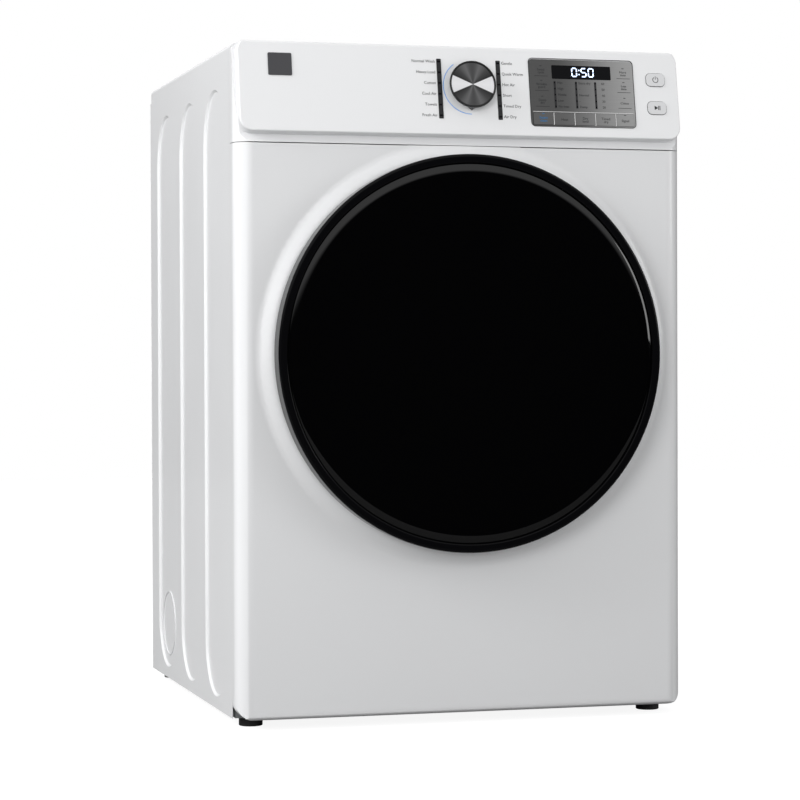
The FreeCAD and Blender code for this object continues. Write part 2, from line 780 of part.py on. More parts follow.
def idler_spring():
    """Extension spring from the arm's tail to the motor bracket."""
    centre = idler_place()
    angle = math.atan2(centre.z - pivot_z, centre.x - pivot_x)
    tail = vec(-2 * math.cos(angle) + 25 * math.sin(angle), 0, -2 * math.sin(angle) - 25 * math.cos(angle))
    start = vec(pivot_x + tail.x, belt_y - 16, pivot_z + tail.z - 6)
    helix = Part.makeHelix(5.0, 45.0, 5.0)
    profile = Part.Wire([Part.makeCircle(0.9, vec(5, 0, 0), vec(0, 1, 0))])
    coil = Part.Wire(helix).makePipeShell([profile], True, True)
    coil.rotate(vec(0, 0, 0), vec(1, 0, 0), 180)
    coil.translate(start)
    return coil


def motor_bracket():
    """Foot plate and two uprights that hold the motor, with the tensioner's pivot."""
    floor = bottom_z + 2
    plate = box(motor_x - 80, motor_x + 92, -200, -28, floor, floor + 3)
    solid = plate
    for y in (-193, -37):
        upright = box(motor_x - 62, motor_x + 62, y, y + 3, floor, motor_z + 10)
        solid = solid.fuse(upright.cut(rod(motor_radius, motor_x, motor_z, y - 1, y + 4)))
    arm = box(motor_x + 60, motor_x + 86, -37, -34, floor, pivot_z + 12)
    pin = rod(pivot_radius, pivot_x, pivot_z, -36, belt_y + 6)
    return solid.fuse([arm, pin]).removeSplitter()


def motor_body():
    """Stator case with end bells and bearing bosses."""
    shell = turned([(motor_radius, -190, 6), (motor_radius, -34, 6), (9, -34, 0), (9, -190, 0)],
                   motor_x, motor_z)
    shell = shell.cut(rod(motor_radius - 4, motor_x, motor_z, -184, -40))
    bearings = [tube(14, shaft_radius + running, motor_x, motor_z, y, y + 12) for y in (-190, -46)]
    shell = shell.fuse(bearings)
    slots = []
    for index in range(8):
        slot = box(30, 46, -200, -20, -3, 3)
        slot.rotate(vec(0, 0, 0), vec(0, 1, 0), 45 * index)
        slot.translate(vec(motor_x, 0, motor_z))
        slots.append(slot)
    return shell.cut(Part.makeCompound(slots)).removeSplitter()


def motor_rotor():
    """Shaft with the rotor core and the grooved belt pulley."""
    shaft = rod(shaft_radius, motor_x, motor_z, -258, 0)
    core = rod(38, motor_x, motor_z, -160, -66)
    pulley = rod(pulley_radius, motor_x, motor_z, belt_y - 9, belt_y + 9)
    for step in range(5):
        y = belt_y - 4 + 2 * step
        pulley = pulley.cut(tube(pulley_radius + 1, pulley_radius - 1, motor_x, motor_z, y - 0.5, y + 0.5))
    cheeks = [rod(15.5, motor_x, motor_z, belt_y + y, belt_y + y + 2) for y in (-11, 9)]
    return joined([shaft, core, pulley] + cheeks)


def blower_wheel():
    """Forward-curved fan wheel: hub, back disc, blades and front ring."""
    back = rod(blower_radius - 2, motor_x, motor_z, blower_rear_y - 10, blower_rear_y - 7)
    hub = rod(14, motor_x, motor_z, blower_rear_y - 30, blower_rear_y - 7)
    ring = tube(blower_radius - 2, blower_radius - 12, motor_x, motor_z,
                blower_front_y + 6, blower_front_y + 9)
    solid = back.fuse([hub, ring])
    blades = []
    for index in range(24):
        blade = box(blower_radius - 22, blower_radius - 3, blower_front_y + 7, blower_rear_y - 8, -1, 1)
        blade.rotate(vec(blower_radius - 3, 0, 0), vec(0, 1, 0), 25)
        blade.rotate(vec(0, 0, 0), vec(0, 1, 0), 15 * index)
        blade.translate(vec(motor_x, 0, motor_z))
        blades.append(blade)
    solid = solid.fuse(blades)
    return solid.cut(rod(shaft_radius, motor_x, motor_z, -300, -180)).removeSplitter()


def blower_housing():
    """Round fan case with a side outlet box that turns the air to the back."""
    reach = blower_radius + 8
    floor = motor_z - reach
    far_x = exhaust_x + exhaust_radius + 6
    top = exhaust_z + exhaust_radius + 4
    outer = rod(reach, motor_x, motor_z, blower_front_y, blower_rear_y)
    outer = outer.fuse(box(motor_x, far_x, blower_front_y, blower_rear_y, floor, top))
    inner = rod(reach - 2, motor_x, motor_z, blower_front_y + 2, blower_rear_y - 2)
    inner = inner.fuse(box(motor_x, far_x - 2, blower_front_y + 2, blower_rear_y - 2, floor + 2, top - 2))
    case = outer.cut(inner)
    case = case.cut(rod(52, motor_x, motor_z, blower_front_y - 5, blower_front_y + 5))
    case = case.cut(rod(10, motor_x, motor_z, blower_rear_y - 5, blower_rear_y + 5))
    case = case.cut(rod(duct_bore, exhaust_x, exhaust_z, blower_rear_y - 5, blower_rear_y + 5))
    return case.removeSplitter()


def lint_duct():
    """Upright box that the filter stands in, with a mouth into the fan."""
    near = filter_y - filter_thick / 2 - 4
    far = filter_y + filter_thick / 2 + 4
    side = filter_half + 4
    mouth_top = 195.0
    outer = box(-side, side, near, far, filter_bottom_z - 6, filter_top_z - 4)
    mouth = box(motor_x - 60, motor_x + 60, far - 2, blower_front_y, motor_z - 60, mouth_top)
    inner = box(-side + 2, side - 2, near + 2, far - 2, filter_bottom_z - 3, filter_top_z)
    inner_mouth = box(motor_x - 58, motor_x + 58, far - 4, blower_front_y + 1, motor_z - 58, mouth_top - 2)
    outer = outer.fuse(mouth).cut(inner)
    return outer.cut(inner_mouth.common(box(-300, 300, far - 2.5, 0, 0, 400))).cut(
        inner_mouth.common(box(-300, 300, -400, 0, filter_bottom_z, 400))).removeSplitter()


def lint_filter():
    """Filter cartridge: frame with a grid on both faces and a finger pull on top."""
    near = filter_y - filter_thick / 2
    far = filter_y + filter_thick / 2
    solid = box(-filter_half, filter_half, near, far, filter_bottom_z, filter_top_z)
    solid = solid.cut(box(-filter_half + 6, filter_half - 6, near + 1.5, far - 1.5,
                          filter_bottom_z + 6, filter_top_z - 12))
    windows = []
    for column in range(6):
        for row in range(6):
            x = -filter_half + 11 + 30 * column
            z = filter_bottom_z + 11 + 33 * row
            windows.append(box(x, x + 26, near - 1, far + 1, z, z + 29))
    solid = solid.cut(Part.makeCompound(windows))
    pull = box(-30, 30, near + 4, far - 4, filter_top_z - 1, filter_top_z + 14)
    pull = pull.cut(box(-22, 22, near, far, filter_top_z + 2, filter_top_z + 9))
    return solid.fuse(pull).removeSplitter()


def exhaust_duct():
    """Pipe from the fan to the back, with a wider collar for the vent hose."""
    pipe = tube(duct_radius, duct_bore, exhaust_x, exhaust_z, blower_rear_y, back_y)
    collar = tube(exhaust_radius, duct_bore, exhaust_x, exhaust_z, back_y, collar_y)
    return pipe.fuse(collar)


def heater_box():
    """Sheet duct with the heating element's case, open to the space behind the drum."""
    outer = box(185, 325, 60, 352, 47, 142)
    inner = box(187, 323, 58, 350, 49, 140)
    solid = outer.cut(inner).cut(box(190, 320, rear_plate_y + 4, 350, 130, 150))
    coils = [box(186, 324, y, y + 3, 92, 96) for y in range(90, 290, 20)]
    return solid.fuse(coils).removeSplitter()


def terminal_cover():
    """Box cover over the supply terminals with a round cord hole beneath."""
    outer = panel_xz(rectangle(-290, -210, 335, 425, 6), back_y, back_y + terminal_deep)
    inner = panel_xz(rectangle(-288, -212, 337, 423, 4), back_y - 1, back_y + terminal_deep - 2)
    hole = post(cord_hole_radius, -250, back_y + 15, 330, 340)
    return outer.cut(inner).cut(hole)


def water_valve():
    """Inlet valve for the steam cycle: body inside, threaded spigot outside."""
    body = box(inlet_x - 23, inlet_x + 23, back_y - 46, back_y - sheet, inlet_z - 20, inlet_z + 20)
    spigot = rod(inlet_radius, inlet_x, inlet_z, back_y - 10, back_y + 20)
    shoulder = rod(17, inlet_x, inlet_z, back_y, back_y + 4)
    solid = body.fuse([spigot, shoulder]).cut(rod(8, inlet_x, inlet_z, back_y - 20, back_y + 21))
    coil = post(14, inlet_x, back_y - 24, inlet_z + 18, inlet_z + 52)
    return solid.fuse(coil).removeSplitter()


def cabinet_screws():
    heads = []
    places = [(x, z) for z in (30, 250, 480, 720, 956) for x in (-330, 330)]
    places += [(x, 983) for x in (-200, 0, 200)] + [(-285, 380), (-215, 380)]
    for x, z in places:
        seat = back_y + (terminal_deep if z == 380 else 0)
        head = rod(4.5, x, z, seat, seat + 2.6)
        heads.append(head.cut(box(x - 3, x + 3, seat + 1.6, seat + 4, z - 0.6, z + 0.6)))
    return Part.makeCompound(heads)


def air_group():
    keep("drum_belt", belt_solid(clear + belt_thick, belt_y - belt_width / 2, belt_y + belt_width / 2).cut(
        belt_solid(clear, belt_y - belt_width, belt_y + belt_width)))
    keep("idler_arm", idler_arm())
    keep("idler_pulley", idler_pulley())
    keep("idler_spring", idler_spring())
    keep("motor_bracket", motor_bracket())
    keep("motor_body", motor_body())
    keep("motor_rotor", motor_rotor())
    keep("blower_wheel", blower_wheel())
    keep("blower_housing", blower_housing())
    keep("lint_duct", lint_duct())
    keep("lint_filter", lint_filter())
    keep("heater_box", heater_box())
    keep("exhaust_duct", exhaust_duct())


def shell_group():
    keep("front_panel", front_panel())
    keep("left_side_panel", side_panel(-1))
    keep("right_side_panel", side_panel(1))
    keep("rear_panel", rear_panel())
    keep("top_panel", top_panel())
    keep("base_pan", base_pan())
    for (x, y), name in zip(foot_places(), ("front_left", "front_right", "rear_left", "rear_right")):
        keep("foot_" + name, foot(x, y))
    keep("terminal_cover", terminal_cover())
    keep("water_valve", water_valve())
    keep("cabinet_screws", cabinet_screws())


shell_group()
console()
door()
drum_group()
air_group()

os.makedirs("parts", exist_ok=True)
for name, shape in parts.items():
    shape.exportStep("parts/" + name + ".step")
    box_now = shape.BoundBox
    print(f"{name:20s} solids {len(shape.Solids)} valid {shape.isValid()} "
          f"volume {shape.Volume / 1000:9.1f} cm3 x {box_now.XMin:.1f}..{box_now.XMax:.1f} "
          f"y {box_now.YMin:.1f}..{box_now.YMax:.1f} z {box_now.ZMin:.1f}..{box_now.ZMax:.1f}")
print(len(parts), "parts")
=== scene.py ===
import json
import math
import bpy
from mathutils import Matrix, Vector


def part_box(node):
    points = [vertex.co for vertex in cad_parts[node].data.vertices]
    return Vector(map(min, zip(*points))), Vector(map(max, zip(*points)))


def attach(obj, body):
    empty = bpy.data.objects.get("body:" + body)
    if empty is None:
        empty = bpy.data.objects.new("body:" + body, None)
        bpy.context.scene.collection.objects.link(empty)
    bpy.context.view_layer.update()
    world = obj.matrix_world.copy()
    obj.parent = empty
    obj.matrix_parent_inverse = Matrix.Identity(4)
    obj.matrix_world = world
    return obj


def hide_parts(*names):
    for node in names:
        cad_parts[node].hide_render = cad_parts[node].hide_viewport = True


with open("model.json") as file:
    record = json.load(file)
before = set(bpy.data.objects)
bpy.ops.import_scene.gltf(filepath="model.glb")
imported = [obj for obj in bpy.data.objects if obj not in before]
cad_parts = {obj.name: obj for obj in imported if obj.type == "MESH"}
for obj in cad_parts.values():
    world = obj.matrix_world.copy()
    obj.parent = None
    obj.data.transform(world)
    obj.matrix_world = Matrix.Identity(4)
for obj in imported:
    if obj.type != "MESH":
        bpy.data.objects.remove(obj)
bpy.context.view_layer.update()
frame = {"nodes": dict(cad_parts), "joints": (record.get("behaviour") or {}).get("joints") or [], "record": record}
nodes = frame["nodes"]
joints = {joint["name"]: joint for joint in frame["joints"]}


def note(stage):
    print("stage:", stage)


# Camera, floor and light
cameraSet = {"place": (-1.0951, -3.9259, 0.5225), "azimuth": 15.54, "rise": -0.719, "roll": 0.199,
             "lens": 114.48}
floorSet = {"near": -2.0, "far": 8.0, "halfWidth": 7.0, "colour": (0.2, 0.2, 0.2, 1), "lift": 0.9}
lightSet = {
    "leftBox": {"place": (-3.5, -0.6, 2.4), "aim": (0, -0.1, 0.8), "size": 1.8, "power": 108,
                "mirrored": False},
    "frontLeftBox": {"place": (-2.6, -3.6, 1.3), "aim": (0, 0, 0.5), "size": 1.8, "power": 60,
                     "mirrored": False},
    "frontBox": {"place": (0.3, -4.5, 0.3), "aim": (0, 0, 0.4), "size": 2.0, "power": 10, "mirrored": False},
    "rightBox": {"place": (3.2, -2.2, 1.3), "aim": (0, 0, 0.6), "size": 1.2, "power": 20, "mirrored": True},
}
worldSet = {"seen": 1.0, "ambient": 0.60, "mirrorHigh": 0.85, "mirrorLow": 0.0,
            "fadeFrom": 0.10, "fadeTo": 0.30}


def cleanSelection():
    if bpy.context.object and bpy.context.object.mode != "OBJECT":
        bpy.ops.object.mode_set(mode="OBJECT")
    bpy.ops.object.select_all(action="DESELECT")


def aimed(place, aim):
    return (Vector(aim) - Vector(place)).to_track_quat("-Z", "Y").to_euler()


def makeCamera():
    angles = (90 + cameraSet["rise"], cameraSet["roll"], -cameraSet["azimuth"])
    turn = [math.radians(angle) for angle in angles]
    bpy.ops.object.camera_add(location=cameraSet["place"], rotation=turn)
    camera = bpy.context.object
    camera.name = "photoCamera"
    camera.data.lens = cameraSet["lens"]
    camera.data.sensor_width = 36
    camera.data.dof.use_dof = False
    bpy.context.scene.camera = camera


def makeLights():
    for name, box in lightSet.items():
        turn = aimed(box["place"], box["aim"])
        bpy.ops.object.light_add(type="AREA", location=box["place"], rotation=turn)
        lamp = bpy.context.object
        lamp.name = name
        lamp.data.size = box["size"]
        lamp.data.energy = box["power"]
        lamp.visible_glossy = box["mirrored"]
    world = bpy.data.worlds.new("studio")
    bpy.context.scene.world = world
    world.use_nodes = True
    tree = world.node_tree
    tree.nodes.clear()
    output = tree.nodes.new("ShaderNodeOutputWorld")
    path = tree.nodes.new("ShaderNodeLightPath")
    coords = tree.nodes.new("ShaderNodeTexCoord")
    split = tree.nodes.new("ShaderNodeSeparateXYZ")
    height = tree.nodes.new("ShaderNodeMapRange")
    height.interpolation_type = "SMOOTHSTEP"
    height.inputs["From Min"].default_value = worldSet["fadeFrom"]
    height.inputs["From Max"].default_value = worldSet["fadeTo"]
    height.inputs["To Min"].default_value = worldSet["mirrorLow"]
    height.inputs["To Max"].default_value = worldSet["mirrorHigh"]
    tree.links.new(coords.outputs["Generated"], split.inputs[0])
    tree.links.new(split.outputs["Z"], height.inputs["Value"])
    plain = tree.nodes.new("ShaderNodeBackground")
    plain.inputs["Strength"].default_value = worldSet["ambient"]
    mirror = tree.nodes.new("ShaderNodeBackground")
    tree.links.new(height.outputs[0], mirror.inputs["Strength"])
    seen = tree.nodes.new("ShaderNodeBackground")
    seen.inputs["Strength"].default_value = worldSet["seen"]
    for shader in (plain, mirror, seen):
        shader.inputs["Color"].default_value = (1, 1, 1, 1)
    first = tree.nodes.new("ShaderNodeMixShader")
    tree.links.new(path.outputs["Is Glossy Ray"], first.inputs[0])
    tree.links.new(plain.outputs[0], first.inputs[1])
    tree.links.new(mirror.outputs[0], first.inputs[2])
    second = tree.nodes.new("ShaderNodeMixShader")
    tree.links.new(path.outputs["Is Camera Ray"], second.inputs[0])
    tree.links.new(first.outputs[0], second.inputs[1])
    tree.links.new(seen.outputs[0], second.inputs[2])
    tree.links.new(second.outputs[0], output.inputs["Surface"])
    bpy.context.scene.view_settings.view_transform = "Standard"


def makeFloor():
    depth = floorSet["far"] - floorSet["near"]
    middle = (floorSet["far"] + floorSet["near"]) / 2
    bpy.ops.mesh.primitive_plane_add(size=1, location=(0, middle, -0.0005))
    floor = bpy.context.object
    floor.name = "studioFloor"
    floor.scale = (2 * floorSet["halfWidth"], depth, 1)
    bpy.ops.object.transform_apply(location=True, rotation=True, scale=True)
    paper = bpy.data.materials.new("studioPaper")
    paper.use_nodes = True
    shader = paper.node_tree.nodes["Principled BSDF"]
    shader.inputs["Base Color"].default_value = floorSet["colour"]
    shader.inputs["Roughness"].default_value = 0.9
    shader.inputs["Specular IOR Level"].default_value = 0.1
    shader.inputs["Emission Color"].default_value = (1, 1, 1, 1)
    path = paper.node_tree.nodes.new("ShaderNodeLightPath")
    lift = paper.node_tree.nodes.new("ShaderNodeMath")
    lift.operation = "MULTIPLY"
    lift.inputs[1].default_value = floorSet["lift"]
    paper.node_tree.links.new(path.outputs["Is Camera Ray"], lift.inputs[0])
    paper.node_tree.links.new(lift.outputs[0], shader.inputs["Emission Strength"])
    floor.data.materials.append(paper)


cleanSelection()
makeCamera()
makeLights()
makeFloor()
note("studio")


def newGroup(name, inputs, outputs):
    group = bpy.data.node_groups.new(name, "ShaderNodeTree")
    for label, kind, value in inputs:
        socket = group.interface.new_socket(name=label, in_out="INPUT", socket_type=kind)
        socket.default_value = value
    for label, kind in outputs:
        group.interface.new_socket(name=label, in_out="OUTPUT", socket_type=kind)
    return group, group.nodes.new("NodeGroupInput"), group.nodes.new("NodeGroupOutput")


def noiseNode(tree, scale, detail=3.0):
    node = tree.nodes.new("ShaderNodeTexNoise")
    node.inputs["Scale"].default_value = scale
    node.inputs["Detail"].default_value = detail
    return node


# Fine bump, slow colour drift and uneven gloss for any moulded or painted surface.
def makeSurfaceGroup():
    group, entry, leave = newGroup("surfaceDrift", [
        ("Colour", "NodeSocketColor", (0.8, 0.8, 0.8, 1)),
        ("Drift", "NodeSocketFloat", 0.03),
        ("Gloss", "NodeSocketFloat", 0.3),
        ("Gloss Drift", "NodeSocketFloat", 0.05),
        ("Grain Size", "NodeSocketFloat", 900.0),
        ("Grain Depth", "NodeSocketFloat", 0.02),
    ], [("Colour", "NodeSocketColor"), ("Roughness", "NodeSocketFloat"), ("Normal", "NodeSocketVector")])
    link = group.links.new
    coords = group.nodes.new("ShaderNodeTexCoord")
    slow = noiseNode(group, 3.5, 2.0)
    link(coords.outputs["Object"], slow.inputs["Vector"])
    fine = noiseNode(group, 900.0, 2.0)
    link(coords.outputs["Object"], fine.inputs["Vector"])
    link(entry.outputs["Grain Size"], fine.inputs["Scale"])
    centred = group.nodes.new("ShaderNodeMath")
    centred.operation = "SUBTRACT"
    link(slow.outputs["Fac"], centred.inputs[0])
    centred.inputs[1].default_value = 0.5
    drift = group.nodes.new("ShaderNodeMath")
    drift.operation = "MULTIPLY_ADD"
    link(centred.outputs[0], drift.inputs[0])
    link(entry.outputs["Drift"], drift.inputs[1])
    drift.inputs[2].default_value = 1.0
    tone = group.nodes.new("ShaderNodeVectorMath")
    tone.operation = "SCALE"
    link(entry.outputs["Colour"], tone.inputs[0])
    link(drift.outputs[0], tone.inputs["Scale"])
    link(tone.outputs[0], leave.inputs["Colour"])
    rough = group.nodes.new("ShaderNodeMath")
    rough.operation = "MULTIPLY_ADD"
    link(centred.outputs[0], rough.inputs[0])
    link(entry.outputs["Gloss Drift"], rough.inputs[1])
    link(entry.outputs["Gloss"], rough.inputs[2])
    link(rough.outputs[0], leave.inputs["Roughness"])
    bump = group.nodes.new("ShaderNodeBump")
    bump.inputs["Distance"].default_value = 0.0004
    link(entry.outputs["Grain Depth"], bump.inputs["Strength"])
    link(fine.outputs["Fac"], bump.inputs["Height"])
    link(bump.outputs[0], leave.inputs["Normal"])
    return group


# Straight brushed lines along one axis, for rolled and brushed sheet.
def makeBrushGroup():
    group, entry, leave = newGroup("brushedLines", [
        ("Colour", "NodeSocketColor", (0.6, 0.6, 0.6, 1)),
        ("Contrast", "NodeSocketFloat", 0.15),
        ("Gloss", "NodeSocketFloat", 0.3),
        ("Stretch", "NodeSocketVector", (6.0, 900.0, 900.0)),
        ("Depth", "NodeSocketFloat", 0.05),
    ], [("Colour", "NodeSocketColor"), ("Roughness", "NodeSocketFloat"), ("Normal", "NodeSocketVector")])
    link = group.links.new
    coords = group.nodes.new("ShaderNodeTexCoord")
    stretch = group.nodes.new("ShaderNodeVectorMath")
    stretch.operation = "MULTIPLY"
    link(coords.outputs["Object"], stretch.inputs[0])
    link(entry.outputs["Stretch"], stretch.inputs[1])
    lines = noiseNode(group, 1.0, 4.0)
    link(stretch.outputs[0], lines.inputs["Vector"])
    centred = group.nodes.new("ShaderNodeMath")
    centred.operation = "SUBTRACT"
    link(lines.outputs["Fac"], centred.inputs[0])
    centred.inputs[1].default_value = 0.5
    drift = group.nodes.new("ShaderNodeMath")
    drift.operation = "MULTIPLY_ADD"
    link(centred.outputs[0], drift.inputs[0])
    link(entry.outputs["Contrast"], drift.inputs[1])
    drift.inputs[2].default_value = 1.0
    tone = group.nodes.new("ShaderNodeVectorMath")
    tone.operation = "SCALE"
    link(entry.outputs["Colour"], tone.inputs[0])
    link(drift.outputs[0], tone.inputs["Scale"])
    link(tone.outputs[0], leave.inputs["Colour"])
    rough = group.nodes.new("ShaderNodeMath")
    rough.operation = "MULTIPLY_ADD"
    link(centred.outputs[0], rough.inputs[0])
    rough.inputs[1].default_value = 0.25
    link(entry.outputs["Gloss"], rough.inputs[2])
    link(rough.outputs[0], leave.inputs["Roughness"])
    bump = group.nodes.new("ShaderNodeBump")
    bump.inputs["Distance"].default_value = 0.0002
    link(entry.outputs["Depth"], bump.inputs["Strength"])
    link(lines.outputs["Fac"], bump.inputs["Height"])
    link(bump.outputs[0], leave.inputs["Normal"])
    return group


# Zinc crystals of galvanised sheet.
def makeSpangleGroup():
    group, entry, leave = newGroup("zincSpangle", [
        ("Colour", "NodeSocketColor", (0.55, 0.57, 0.58, 1)),
        ("Contrast", "NodeSocketFloat", 0.22),
        ("Crystal Size", "NodeSocketFloat", 90.0),
        ("Gloss", "NodeSocketFloat", 0.38),
    ], [("Colour", "NodeSocketColor"), ("Roughness", "NodeSocketFloat"), ("Normal", "NodeSocketVector")])
    link = group.links.new
    coords = group.nodes.new("ShaderNodeTexCoord")
    cells = group.nodes.new("ShaderNodeTexVoronoi")
    link(coords.outputs["Object"], cells.inputs["Vector"])
    link(entry.outputs["Crystal Size"], cells.inputs["Scale"])
    grey = group.nodes.new("ShaderNodeSeparateColor")
    link(cells.outputs["Color"], grey.inputs[0])
    centred = group.nodes.new("ShaderNodeMath")
    centred.operation = "SUBTRACT"
    link(grey.outputs[0], centred.inputs[0])
    centred.inputs[1].default_value = 0.5
    drift = group.nodes.new("ShaderNodeMath")
    drift.operation = "MULTIPLY_ADD"
    link(centred.outputs[0], drift.inputs[0])
    link(entry.outputs["Contrast"], drift.inputs[1])
    drift.inputs[2].default_value = 1.0
    tone = group.nodes.new("ShaderNodeVectorMath")
    tone.operation = "SCALE"
    link(entry.outputs["Colour"], tone.inputs[0])
    link(drift.outputs[0], tone.inputs["Scale"])
    link(tone.outputs[0], leave.inputs["Colour"])
    rough = group.nodes.new("ShaderNodeMath")
    rough.operation = "MULTIPLY_ADD"
    link(centred.outputs[0], rough.inputs[0])
    rough.inputs[1].default_value = 0.18
    link(entry.outputs["Gloss"], rough.inputs[2])
    link(rough.outputs[0], leave.inputs["Roughness"])
    bump = group.nodes.new("ShaderNodeBump")
    bump.inputs["Strength"].default_value = 0.04
    bump.inputs["Distance"].default_value = 0.0003
    link(cells.outputs["Distance"], bump.inputs["Height"])
    link(bump.outputs[0], leave.inputs["Normal"])
    return group


surfaceDrift = makeSurfaceGroup()
brushedLines = makeBrushGroup()
zincSpangle = makeSpangleGroup()


# A Principled shader fed by one of the groups; both take named values.
def newMaterial(name, group, values, shaderValues=None):
    made = bpy.data.materials.new(name)
    made.use_nodes = True
    tree = made.node_tree
    shader = tree.nodes["Principled BSDF"]
    effect = tree.nodes.new("ShaderNodeGroup")
    effect.node_tree = group
    for label, value in values.items():
        effect.inputs[label].default_value = value
    tree.links.new(effect.outputs["Colour"], shader.inputs["Base Color"])
    tree.links.new(effect.outputs["Roughness"], shader.inputs["Roughness"])
    tree.links.new(effect.outputs["Normal"], shader.inputs["Normal"])
    for label, value in (shaderValues or {}).items():
        shader.inputs[label].default_value = value
    return made


def moulded(name, colour, gloss, grainSize=1400.0, grainDepth=0.05, drift=0.04, **shaderValues):
    labels = {key.replace("_", " "): value for key, value in shaderValues.items()}
    return newMaterial(name, surfaceDrift, {
        "Colour": (*colour, 1), "Drift": drift, "Gloss": gloss, "Gloss Drift": 0.08,
        "Grain Size": grainSize, "Grain Depth": grainDepth}, labels)


def brushed(name, colour, gloss, stretch, contrast=0.2, depth=0.08):
    return newMaterial(name, brushedLines, {
        "Colour": (*colour, 1), "Contrast": contrast, "Gloss": gloss, "Stretch": stretch, "Depth": depth},
        {"Metallic": 1.0})


# Painted reflection: gives a brushed metal a tone that goes from dark at its left end to light at its right,
# standing for how its sheen falls across it.
def paintReflectionFade(made, dimReflectionTone, brightReflectionTone):
    tree = made.node_tree
    effect = next(node for node in tree.nodes if node.type == "GROUP")
    coords = tree.nodes.new("ShaderNodeTexCoord")
    split = tree.nodes.new("ShaderNodeSeparateXYZ")
    spread = tree.nodes.new("ShaderNodeMapRange")
    spread.interpolation_type = "SMOOTHSTEP"
    limits = {"From Min": 0.14, "From Max": 0.27, "To Min": dimReflectionTone, "To Max": brightReflectionTone}
    for label, value in limits.items():
        spread.inputs[label].default_value = value
    tree.links.new(coords.outputs["Object"], split.inputs[0])
    tree.links.new(split.outputs["X"], spread.inputs["Value"])
    tree.links.new(spread.outputs[0], effect.inputs["Colour"])
    return made


def galvanised(name, colour, size=90.0):
    return newMaterial(name, zincSpangle, {"Colour": (*colour, 1), "Crystal Size": size}, {"Metallic": 1.0})


def glassLike(name, colour, roughness, transmission, alpha=1.0):
    made = bpy.data.materials.new(name)
    made.use_nodes = True
    shader = made.node_tree.nodes["Principled BSDF"]
    shader.inputs["Base Color"].default_value = (*colour, 1)
    shader.inputs["Transmission Weight"].default_value = transmission
    shader.inputs["Alpha"].default_value = alpha
    tree = made.node_tree
    smear = noiseNode(tree, 9.0, 3.0)
    coords = tree.nodes.new("ShaderNodeTexCoord")
    spread = tree.nodes.new("ShaderNodeMapRange")
    spread.inputs["To Min"].default_value = roughness
    spread.inputs["To Max"].default_value = roughness + 0.02
    tree.links.new(coords.outputs["Object"], smear.inputs["Vector"])
    tree.links.new(smear.outputs["Fac"], spread.inputs["Value"])
    tree.links.new(spread.outputs[0], shader.inputs["Roughness"])
    return made


def glowing(name, colour, strength):
    made = bpy.data.materials.new(name)
    made.use_nodes = True
    shader = made.node_tree.nodes["Principled BSDF"]
    shader.inputs["Base Color"].default_value = (*colour, 1)
    shader.inputs["Emission Color"].default_value = (*colour, 1)
    shader.inputs["Emission Strength"].default_value = strength
    shader.inputs["Roughness"].default_value = 0.4
    return made


